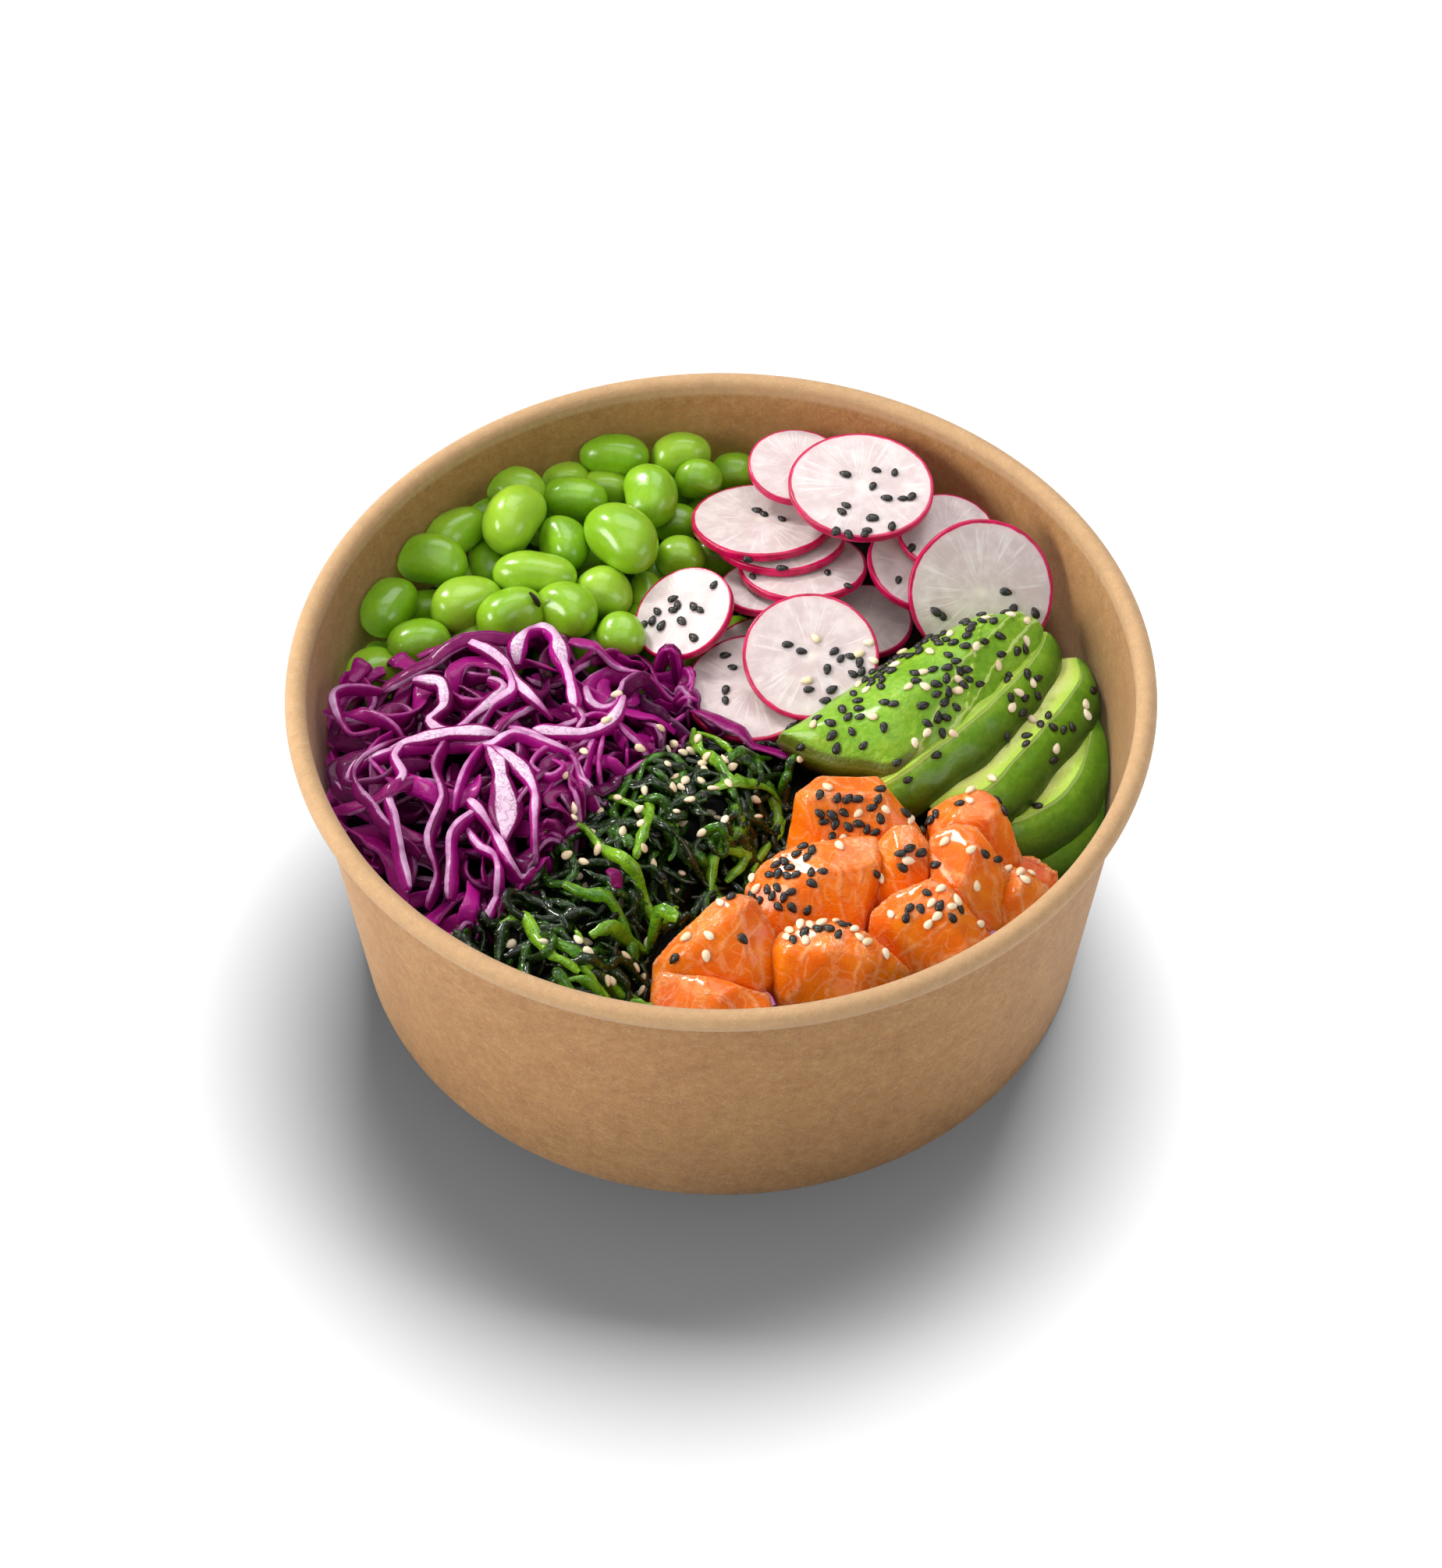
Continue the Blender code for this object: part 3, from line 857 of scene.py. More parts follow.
edamame = {
    "seed": 4,
    "unevenness": 0.35 * mm,
    "unevenSize": 7 * mm,
    # the layer under the chosen beans: where and how often one is tried (mm), how far out it may lie, its
    # distance from the others, its depth under fillerTop and half its length, width and depth (mm)
    "fillers": 46,
    "tries": 2000,
    "fillerX": (-84, 6),
    "fillerY": (20, 86),
    "fillerReach": 80 * mm,
    "fillerGap": 7.2 * mm,
    "fillerTop": 53 * mm,
    "fillerDepth": (3, 9),
    "fillerSize": ((5.5, 7.5), (4.6, 5.4), (4.4, 5)),
    # the core's dark colour is painted shade for the gaps between the beans
    "core": {"shade": "1E3A06", "rough": 0.8, "gloss": 0.1, "sink": 14 * mm, "inset": 2 * mm,
             "lump": 2 * mm, "lumpSize": 9 * mm},
    # the bit of stem on one bean: places and widths (mm)
    "stem": [((-40, 33, 63), 1.1), ((-40.3, 32.5, 65), 1.2), ((-41, 32.5, 66.5), 0.9),
             ((-41.8, 33, 67.2), 0.5)],
    # middle (mm), length, width (mm), heading and the tilt of the bean's length (degrees)
    "beans": [
        ((-24, 80, 62), 16, 10, -7, 0), ((-9, 81, 61), 13.5, 10, 10, 0), ((3, 80, 56), 11, 9, 0, 0),
        ((-35, 76, 58), 11, 9, 0, 0), ((-5, 75, 59), 11, 9.5, 0, 0), ((-26, 74, 57), 12, 9, 0, 0),
        ((-46, 70, 61), 14.5, 10, -19, 0), ((-33, 68, 60), 15.5, 10, -7, 0),
        ((-16, 67, 62), 16, 12, -82, 0), ((-46, 59, 63), 18, 13, 66, 0), ((-22, 52, 64), 19, 14, -48, 0),
        ((-35, 55, 59), 14, 11, -66, 0), ((-59, 58, 60), 15, 11, 43, 0), ((-54, 67, 56), 11, 9, 0, 0),
        ((-10, 66, 54), 11, 9, 0, 0), ((-9, 53, 57), 11, 10, 0, 0), ((-64, 49, 60), 16.5, 12, -19, 0),
        ((-52, 54, 54), 12, 9, -80, 0), ((-41, 44, 61), 18.5, 11, -4, 0), ((-26, 42, 57), 13, 12, 0, 0),
        ((-17, 46, 52), 12, 9, -80, 0), ((-56, 37, 59), 17, 12, 26, 0), ((-65, 42, 52), 11, 9, 0, 0),
        ((-73, 37, 58), 16, 12, 66, 0), ((-46, 33, 59.5), 16, 12.5, 30, 0),
        ((-34, 34.5, 59.5), 15, 12, -35, 0), ((-66, 26, 58), 14, 12, 13, 0),
        ((-22, 29, 57), 11, 11, 0, 0), ((-75.5, 20.5, 55), 13, 11.5, 26, 0), ((-54, 32, 53), 11, 9, 0, 0),
        ((-77, 32, 46), 12, 9, 0, 0), ((-1, 58, 52), 11, 9, 0, 0),
    ],
}


def beanShape():
    # a unit bean: fuller than an ellipsoid, straighter on one side, with a faint dent there
    build = bmesh.new()
    bmesh.ops.create_icosphere(build, subdivisions=4, radius=1.0)
    for point in build.verts:
        x, y, z = point.co
        full = (abs(x) ** 2.3 + abs(y) ** 2.3 + abs(z) ** 2.3) ** (1 / 2.3)
        x, y, z = x / full, y / full, z / full
        dent = 0.10 * math.exp(-(x / 0.42) ** 2) * max(-y, 0) ** 2
        y = y * (1 - 0.10 * x * x) + 0.10 * (1 - x * x) - 0.06 + dent
        point.co = (x, y, z * (1 - 0.06 * x))
    return closed(build, bpy.data.meshes.new("bean"))


def paintEdamame():
    paint = Paint("edamameSkin", {"Roughness": 0.3, "Coat Weight": 0.6, "Coat Roughness": 0.17,
                                  "Subsurface Weight": 0.35, "Subsurface Radius": (0.25, 0.6, 0.08),
                                  "Subsurface Scale": 4 * mm, "IOR": 1.42})
    tone = paint.value("tone")
    cloud = paint.noise(5 * mm, 2, 0.5)
    streak = paint.noise(1.1 * mm, 3, 0.6, wander=0.6)
    shade = tone * 0.45 + cloud * 0.35 + streak * 0.2
    base = paint.ramp(shade, (0.2, colour("5F940C")), (0.5, colour("86B61A")), (0.8, colour("A4CA34")))
    height = paint.noise(2.2 * mm, 3, 0.55)
    return paint.finish(Base_Color=base, Normal=paint.bump(height, 0.16 * mm))


def makeEdamame():
    chance = random.Random(edamame["seed"])
    places = []
    for (x, y, z), length, width, heading, tilt in edamame["beans"]:
        turn = Euler((chance.uniform(-0.5, 0.5), math.radians(tilt) + chance.uniform(-0.12, 0.12),
                      math.radians(heading)))
        deep = width * chance.uniform(0.86, 0.98)
        places.append((Vector((x, y, z)) * mm, turn, Vector((length, width, deep)) * 0.5 * mm,
                       chance.uniform(0.25, 1)))
    heap = surfaceOf(cadNodes["edamame_heap"].data)
    tries = 0
    while tries < edamame["tries"] and len(places) < len(edamame["beans"]) + edamame["fillers"]:
        tries += 1
        x, y = chance.uniform(*edamame["fillerX"]) * mm, chance.uniform(*edamame["fillerY"]) * mm
        spot, _ = drop(heap, x, y)
        if spot is None or math.hypot(x, y) > edamame["fillerReach"]:
            continue
        middle = Vector((x, y, edamame["fillerTop"] - chance.uniform(*edamame["fillerDepth"]) * mm))
        if any((middle - place).length < edamame["fillerGap"] for place, _, _, _ in places):
            continue
        turn = Euler([chance.uniform(-3, 3) for _ in range(3)])
        size = Vector([chance.uniform(*span) for span in edamame["fillerSize"]]) * mm
        places.append((middle, turn, size, chance.uniform(0, 0.5)))
    made = strew("edamame_beans", beanShape(), places, paintEdamame())
    pushed(made.data, lambda place: edamame["unevenness"] * noise.noise(place / edamame["unevenSize"]))
    made.data.shade_smooth()
    keep(made, "edamame", ["edamame_heap"])
    heapCore("edamame", "edamame", edamame["core"])
    brown = Paint("edamameStem", {"Base Color": colour("2A2410"), "Roughness": 0.6})
    route = [(Vector(place) * mm, width * mm, width * mm, 0, 0) for place, width in edamame["stem"]]
    keep(sweep("edamame_stem", [route], brown.material, lumpHeight=0.2 * mm), "edamame")


makeEdamame()
print("edamame")


cabbage = {
    "seed": 11,
    "depth": 14 * mm,
    "strands": 200,
    "slack": 2.9 * mm,
    "step": 2.1 * mm,
    "length": (22 * mm, 50 * mm),
    "curl": 125.0,
    "leaf": (0.7 * mm, 1.6 * mm),
    "cut": (2.4 * mm, 4.4 * mm),
    "archShare": 0.45,  # of the strands that arch over the others
    "arch": (0, 3.5),
    "reach": 1.2 * mm,  # half the width that a strand rests on
    # the core's dark colour is painted shade for the gaps between the strands
    "core": {"shade": "1A021C", "rough": 0.7, "gloss": 0.15, "sink": 15 * mm, "inset": 2 * mm,
             "lump": 2 * mm, "lumpSize": 6 * mm},
    # strands that stand out: places (mm: x, y and the lift over what it lies on), leaf and cut width (mm)
    # and roll (degrees)
    "chosen": [
        ([(-44, 14, 0), (-44, 18, 2), (-42, 22, 3.5), (-38.5, 24, 4), (-36, 21, 4), (-34.5, 15, 3),
          (-32, 7, 1.5), (-31, -1, 0)], 3.2, 3, 0),
        ([(-57, 22, 0), (-52, 17, 1), (-46, 12, 1), (-41, 3, 1), (-36, -3, 0)], 2.4, 3, 5),
        ([(-73, 8, 0), (-69, 11, 0), (-64, 14, 0.5), (-58, 18.5, 1), (-50, 20, 1), (-44, 20, 0.5)], 1.6,
          3.2, 60),
        ([(-33, 23, 1), (-27, 21, 1), (-22, 19, 0.5), (-17, 16, 0.5), (-11, 14, 0), (-5, 11, 0)], 1.4,
          4.5, 75),
        ([(-79, -19, 0), (-77, -15, 0), (-70, -13, 1), (-62, -11, 2), (-55, -10, 2), (-48, -12, 2),
          (-44, -10, 2), (-37, -12, 1.5), (-31, -15, 1), (-29, -20, 0), (-24, -22, 0)], 2.0, 3, 10),
        ([(-49, -12, 1), (-42, -19, 2), (-39, -26, 2), (-39, -33, 2), (-39, -39, 1), (-41, -43, 1),
          (-44, -42, 1), (-46, -37, 1), (-49, -31, 1), (-53, -26, 0)], 2.4, 3, 0),
        ([(-49, -12, 1.5), (-47, -17, 2), (-46, -23, 2), (-45, -29, 1.5), (-45, -34, 1), (-46, -38, 0)],
          5.4, 1.8, 8),
        ([(-73, 7, 0), (-80, 7, 1.5), (-83, 5, 1.5), (-82, 0, 1.5), (-80, -4, 1), (-78, -6, 0.5),
          (-73, -4, 0)], 1.6, 3, 10),
        ([(-65, -8, 1), (-70, -10, 1.5), (-76, -14, 1), (-78, -18, 1), (-76, -23, 1), (-73, -27, 1),
          (-71, -31, 1), (-67, -34, 0)], 1.5, 3, 5),
        ([(-67, -10, 1.5), (-69, -15, 1.5), (-67, -20, 1.5), (-70, -24, 1), (-69, -29, 1), (-68, -34, 1),
          (-67, -39, 0.5), (-65, -46, 0)], 2.4, 3, -5),
        ([(-58, -10, 1), (-60, -18, 1.5), (-58, -27, 2), (-61, -35, 1.5), (-59, -43, 1), (-61, -50, 0)],
          1.6, 3.2, 20),
        ([(-50, -11, 0.5), (-54, -19, 1), (-56, -29, 0.5)], 1.3, 3, 10),
        ([(-53, -32, 0), (-50, -37, 1), (-47, -40, 1), (-46, -45, 1), (-47, -50, 0.5), (-49, -54, 0)],
          1.8, 3, 15),
        ([(-51, -28, 0.5), (-56, -34, 1), (-56, -40, 1), (-56, -49, 0)], 1.8, 3, 0),
        ([(-43, -46, 0), (-45, -49, 0.5), (-46, -53, 0)], 1.2, 2, 0),
        ([(-34, -11, 1), (-38, -14, 1.5), (-40, -18, 1.5), (-36, -21, 1.5), (-33, -18, 1.5),
          (-36, -16, 1.5)], 1.6, 2.6, 10),
        ([(-45, -7, 1), (-40, -9, 1), (-34, -12, 1), (-31, -15, 1), (-30, -20, 0.5), (-25, -25, 0)], 1.7,
          3, 10),
        ([(-70, -12, 1), (-64, -10, 2), (-57, -9, 2), (-51, -9, 2), (-47, -9, 1)], 3.4, 2.6, -10),
        ([(-47, 13, 1), (-45, 8, 1.5), (-45, 4, 1.5), (-49, 0, 1), (-52, -5, 0)], 2.2, 3, 0),
        ([(-29, 8, 1), (-28, 3, 1.5), (-24, 1, 1.5), (-21, 2, 1.5), (-23, -4, 1.5), (-29, -8, 1),
          (-40, -8, 1)], 2.4, 3, 10),
        ([(-27, -9, 0.5), (-28, -15, 0.5), (-29, -20, 0)], 1.4, 3, 15),
        ([(-25, -8, 0.5), (-26, -15, 0.5), (-25, -21, 0)], 1.4, 3, -15),
        ([(-23.5, -42, 3), (-22, -43.5, 3.5), (-21.5, -45.5, 3)], 1.0, 2.8, 80),
        ([(-6, 9, 0), (-2, 6, 1), (2, 3, 1), (7, 0, 1), (12, -2, 0.5), (15, -3, 0)], 1.2, 4.5, 65),
        ([(-66, 8, 0), (-60, 6, 1), (-59, 0, 2), (-62, -3, 2), (-57, -6, 1), (-51, -1, 1), (-47, 6, 1),
          (-50, 9, 0)], 2.8, 3, 0),
    ],
    # scraps between the salmon pieces (mm)
    "scrapWidth": 2.2 * mm,
    "scraps": [[(8, -67, 53), (9.5, -69, 54.5), (10.5, -71, 54)],
               [(55, -50, 51), (57, -51.5, 53), (59, -53, 51.5)]],
}


def paintCabbage():
    paint = Paint("cabbageShreds", {"Roughness": 0.4, "Coat Weight": 0.22, "Coat Roughness": 0.1,
                                    "Specular IOR Level": 0.2, "Subsurface Weight": 0.1,
                                    "Subsurface Radius": (0.5, 0.15, 0.5),
                                    "Subsurface Scale": 1.5 * mm, "IOR": 1.42})
    across, through = abs(paint.value("across")), abs(paint.value("through"))
    leaf = paint.value("leaf")
    tone = paint.value("tone")
    mottle = paint.noise(2.0 * mm, 3, 0.6)
    edge = (through - across) + (mottle - 0.5) * 0.3
    cutFace = edge.rise(0.22, 0.5) * leaf.rise(0.7 * mm, 2.0 * mm)
    vein = paint.noise(1.8 * mm, 2, 0.5, wander=1.0).band(0.5, 0.05) * leaf.rise(2 * mm, 4 * mm)
    skin = paint.ramp(tone * 0.6 + mottle * 0.4, (0.15, colour("3C0230")), (0.5, colour("84045E")),
                      (0.85, colour("AC1084")))
    flesh = paint.ramp(mottle * 0.5 + leaf.rise(1 * mm, 4 * mm) * 0.5, (0.2, colour("AC5A9A")),
                       (0.5, colour("D8A8CC")), (0.8, colour("E8CEE0")))
    flesh = paint.mix(vein * 0.6, flesh, colour("A0529A"))
    base = paint.mix(cutFace, skin, flesh)
    height = paint.noise(0.9 * mm, 3, 0.6) - vein * 0.5
    return paint.finish(Base_Color=base, Normal=paint.bump(height, 0.15 * mm))


def makeCabbage():
    chance = random.Random(cabbage["seed"])
    pile = Pile("cabbage_heap", cabbage["depth"])
    step = cabbage["step"]
    routes = []
    while len(routes) < cabbage["strands"] and pile.lacking() > cabbage["slack"]:
        plan = wander(chance, pile, pile.hollow(chance), chance.uniform(0, 2 * math.pi),
                      chance.uniform(*cabbage["length"]), step, cabbage["curl"])
        if len(plan) < 6:
            continue
        leaf = chance.uniform(*cabbage["leaf"])
        cut = chance.uniform(*cabbage["cut"])
        arch = chance.uniform(*cabbage["arch"]) * mm if chance.random() < cabbage["archShare"] else 0
        lifts = archOf(len(plan), arch, chance.uniform(0.3, 0.7), 0.18)
        levels = pile.lay(plan, cabbage["reach"], cut * 0.6, lifts)
        rolls = rollWalk(chance, len(plan), chance.choice((0, 0.1, -0.2, 0.5, -0.6, 1.3)), 0.2)
        tone, swell = chance.uniform(0, 1), chance.uniform(0, 100)
        routes.append(ribbon(plan, levels, rolls, leaf, cut, tone, swell, (0.7, 0.28), (0.45, 0.25)))
    print("cabbage strands:", len(routes), "lacking", round(pile.lacking() / mm, 2))
    for places, leaf, cut, roll in cabbage["chosen"]:
        plan, levels = chosenPlan(pile, places, 2.4, cabbage["reach"], cut)
        swell, tone = chance.uniform(0, 100), chance.uniform(0.3, 1)
        rolls = rollWalk(chance, len(plan), math.radians(roll), 0.05)
        tip = (0.25, 0.22) if leaf > 4 else (0.6, 0.3)
        routes.append(ribbon(plan, levels, rolls, leaf * mm, cut * mm, tone, swell, (0.9, 0.35), tip))
    wide = cabbage["scrapWidth"]
    for scrap in cabbage["scraps"]:
        routes.append([(Vector(place) * mm, wide, wide, 0, 0.5) for place in scrap])
    made = sweep("cabbage_shreds", routes, paintCabbage(), smoothness=3, lumpSize=4 * mm, lumpHeight=0.5 * mm)
    keep(made, "red_cabbage", ["cabbage_heap"])
    heapCore("cabbage", "red_cabbage", cabbage["core"])


makeCabbage()
print("red cabbage")


seaweed = {
    "seed": 23,
    "depth": 10 * mm,
    "strands": 135,
    "step": 1.6 * mm,
    "length": (12 * mm, 34 * mm),
    "curl": 230.0,
    "archShare": 0.6,  # of the strands that arch over the others
    "arch": (0.5, 4),
    "reach": 1.0 * mm,  # half the width that a strand rests on
    "hem": 0.5 * mm,
    # strands that show between and round the other toppings
    "gapStrands": 70,
    "gapDepth": 5 * mm,
    "gapLength": (8, 22),
    "gapLeaf": (1.5, 2.5),
    "gapOver": -0.5 * mm,
    # the core's dark colour is painted shade for the gaps between the strands
    "core": {"shade": "040D05", "rough": 0.5, "gloss": 0.2, "sink": 11 * mm, "inset": 2 * mm,
             "lump": 3 * mm, "lumpSize": 5 * mm},
    # bright strands: places (mm: x, y and the lift over what it lies on), leaf and cut width (mm)
    "chosen": [
        ([(-37, -33, 0), (-33, -30, 1), (-29, -29, 1.5), (-24.5, -35, 1.5), (-20, -39, 2), (-17, -41, 2),
          (-14, -46, 1.5), (-9, -49.5, 0.5)], 2.3, 1.6),
        ([(-18, -38, 1.5), (-16, -31, 2.5), (-15, -24, 1.5), (-17, -21, 0)], 2.5, 1.8),
        ([(-6, 3, 3), (-5, -3, 3), (-1, -10, 2), (3, -16, 0.5)], 2.6, 1.6),
        ([(-5, 2, 3), (1, -2, 3), (3, -9, 1.5)], 1.8, 1.4),
        ([(-1, -18, 0.5), (3, -16, 1), (7, -13, 1.5), (11, -12, 1), (13, -13, 0)], 4.0, 1.3),
        ([(11, -12, 1), (12, -17, 1), (10, -22, 0.5)], 2.4, 1.4),
        ([(13, -16, 0.5), (12, -21, 1), (9, -26, 1), (6, -33, 0.5)], 1.9, 1.5),
        ([(-2, -39, 0.5), (-1.5, -33, 1.5), (1.5, -29.5, 2), (5, -28.7, 2), (4, -31.5, 1.5),
          (1, -35, 0.5)], 3.0, 1.6),
        ([(-46, -55, 0), (-41, -53, 1), (-38, -59, 1), (-35, -64, 1), (-29, -68, 0.5)], 2.4, 1.7),
        ([(-27, -57, 0), (-24, -55, 0.5), (-21, -53.5, 1), (-17.5, -52.5, 1), (-13, -53, 0.7),
          (-9, -55.5, 0)], 3.2, 1.3),
        ([(-33, -71, 0.5), (-26, -70, 1.5), (-20, -72, 1), (-14, -73, 0)], 2.2, 1.6),
        ([(-36, -57, 0), (-34, -61, 1), (-29, -64, 1), (-23, -64.5, 1), (-17, -65, 1), (-13, -66, 0)],
          2.8, 1.5),
        ([(-33, -43, 0), (-28, -46, 1), (-23, -47, 1), (-19, -52, 0.5), (-18, -60, 0)], 2.2, 1.5),
        ([(-24, -20, 0.5), (-20, -23, 1.5), (-15, -26, 1), (-9, -28, 0.5)], 2.0, 1.5),
    ],
}


def paintSeaweed():
    paint = Paint("seaweedStrands", {"Roughness": 0.3, "Coat Weight": 0.65, "Coat Roughness": 0.03,
                                     "Specular IOR Level": 0.25, "Subsurface Weight": 0.12,
                                     "Subsurface Radius": (0.3, 0.8, 0.1),
                                     "Subsurface Scale": 1.5 * mm, "IOR": 1.4})
    tone = paint.value("tone")
    mottle = paint.noise(3.0 * mm, 3, 0.6)
    shade = tone + (mottle - 0.5) * 0.9
    base = paint.ramp(shade, (0.0, colour("070F02")), (0.35, colour("193304")), (0.6, colour("42780A")),
                      (1.0, colour("82B21A")))
    height = paint.noise(1.3 * mm, 2, 0.6)
    # painted glints: small pale flecks in the colour stand for highlights on the wet strands
    paintedGlint = paint.noise(0.8 * mm, 1, 0.5).rise(0.66, 0.72)
    base = paint.mix(paintedGlint * 0.45, base, colour("9CB482"))
    return paint.finish(Base_Color=base, Normal=paint.bump(height, 0.7 * mm))


def makeSeaweed():
    chance = random.Random(seaweed["seed"])
    pile = Pile("seaweed_heap", seaweed["depth"], spill=1)
    pile.hem(seaweed["hem"])
    step = seaweed["step"]
    routes = []
    for number in range(seaweed["strands"]):
        plan = wander(chance, pile, pile.hollow(chance), chance.uniform(0, 2 * math.pi),
                      chance.uniform(*seaweed["length"]), step, seaweed["curl"])
        if len(plan) < 5:
            continue
        late = number / seaweed["strands"]
        bright = late > 0.75 and chance.random() < 0.1
        leaf = (chance.uniform(1.8, 2.8) if bright else chance.uniform(1.6, 2.7)) * mm
        cut = leaf * chance.uniform(0.6, 0.85)
        tone = chance.uniform(0.5, 0.9) if bright else chance.uniform(0, 0.5)
        arch = chance.uniform(*seaweed["arch"]) * mm if chance.random() < seaweed["archShare"] else 0
        lifts = archOf(len(plan), arch, chance.uniform(0.2, 0.8), 0.16)
        levels = pile.lay(plan, seaweed["reach"], cut * 0.8, lifts)
        rolls = rollWalk(chance, len(plan), chance.uniform(-0.6, 0.6), 0.2)
        swell = chance.uniform(0, 100)
        routes.append(ribbon(plan, levels, rolls, leaf, cut, tone, swell, (0.8, 0.7), (0.35, 0.3)))
    for places, leaf, cut in seaweed["chosen"]:
        plan, levels = chosenPlan(pile, places, 2.0, seaweed["reach"], cut)
        rolls = rollWalk(chance, len(plan), chance.uniform(-0.4, 0.4), 0.12)
        tone, swell = chance.uniform(0.7, 1.0), chance.uniform(0, 100)
        leaf, cut = leaf * mm, cut * mm
        routes.append(ribbon(plan, levels, rolls, leaf, cut, tone, swell, (0.8, 0.6), (0.5, 0.25)))
    print("seaweed strands:", len(routes), "lacking", round(pile.lacking() / mm, 2))
    pile.mine = pile.open = pile.rest  # from here on, only the gaps
    pile.top[:] = grid["floor"]
    pile.top[pile.rest] = pile.goal[pile.rest] - seaweed["gapDepth"]
    for _ in range(seaweed["gapStrands"]):
        plan = wander(chance, pile, pile.hollow(chance), chance.uniform(0, 2 * math.pi),
                      chance.uniform(*seaweed["gapLength"]) * mm, step, seaweed["curl"])
        if len(plan) < 4:
            continue
        leaf = chance.uniform(*seaweed["gapLeaf"]) * mm
        levels = pile.lay(plan, seaweed["reach"], leaf * 0.6, over=seaweed["gapOver"])
        rolls = rollWalk(chance, len(plan), chance.uniform(-0.6, 0.6), 0.2)
        tone = chance.uniform(0, 0.45)
        routes.append([((x, y, z), leaf, leaf * 0.7, roll, tone)
                       for (x, y), z, roll in zip(plan, levels, rolls)])
    print("with the gaps:", len(routes), "lacking", round(pile.lacking() / mm, 2))
    made = sweep("seaweed_strands", routes, paintSeaweed(), smoothness=2, corner=0.7, lumpSize=1.5 * mm,
                 lumpHeight=0.8 * mm)
    keep(made, "seaweed", ["seaweed_heap"])
    heapCore("seaweed", "seaweed", seaweed["core"])


makeSeaweed()
print("seaweed")


radish = {
    "around": 96,
    "thickness": 2.0 * mm,
    "edge": 0.35 * mm,
    "wave": 0.35 * mm,
    "unround": 0.018,
    "inset": 0.1 * mm,  # how far it stays inside its solid
}


def discOf(node):  # middle, facing and radius of a round slice
    points = np.array([point.co for point in cadNodes[node].data.vertices])
    middle = (points.min(0) + points.max(0)) / 2
    _, _, axes = np.linalg.svd(points - points.mean(0), full_matrices=False)
    facing = Vector(axes[2])
    if facing.z < 0:
        facing = -facing
    flat = (points - middle) - np.outer((points - middle) @ np.array(facing), np.array(facing))
    return Vector(middle), facing, float(np.linalg.norm(flat, axis=1).max())


def paintRadish():
    paint = Paint("radishSlice", {"IOR": 1.38, "Subsurface Weight": 0.35, "Coat Weight": 0.25,
                                  "Coat Roughness": 0.15, "Subsurface Radius": (1.0, 0.7, 0.7),
                                  "Subsurface Scale": 0.9 * mm})
    spot = paint.stored("spot")  # place on the slice, as a share of its radius
    x, y, z = paint.split(spot)
    tone = paint.value("tone")
    away = (x * x + y * y) ** 0.5
    ring = paint.join(x / away.most(0.02), y / away.most(0.02), tone * 40)
    streak = paint.noise(0.09, 3, 0.6, at=paint.vector("ADD", ring, paint.join(0, 0, away * 0.12)))
    vein = streak.rise(0.5, 0.68) * away.rise(0.08, 0.3) * (1 - away.rise(0.82, 0.97))
    cloud = paint.noise(4 * mm, 3, 0.6)
    sparkle = paint.noise(0.5 * mm, 2, 0.6)
    flesh = paint.mix(cloud.rise(0.35, 0.7), colour("CDBBBA"), colour("DDD0CE"))
    flesh = paint.mix(vein * 0.45, flesh, colour("F2EAE8"))
    flesh = paint.mix((1 - away.rise(0.0, 0.16)) * 0.5, flesh, colour("FBF4E6"))
    wavy = paint.noise(0.16, 2, 0.5, at=ring)
    blush = away.rise(0.84, 0.99) * 0.35 * cloud.rise(0.3, 0.7)
    flesh = paint.mix(blush, flesh, colour("F2A9BE"))
    side = (away + (wavy - 0.5) * 0.03).rise(0.94, 0.96)
    skin = paint.mix(paint.noise(3 * mm, 3, 0.6).rise(0.3, 0.75), colour("AC003E"), colour("D4085A"))
    base = paint.mix(side, flesh, skin)
    rough = 0.34 + sparkle * 0.18 - side * 0.12
    height = sparkle * 0.4 + vein * 0.6 + cloud * 0.3
    return paint.finish(Base_Color=base, Roughness=rough, Normal=paint.bump(height, 0.06 * mm))


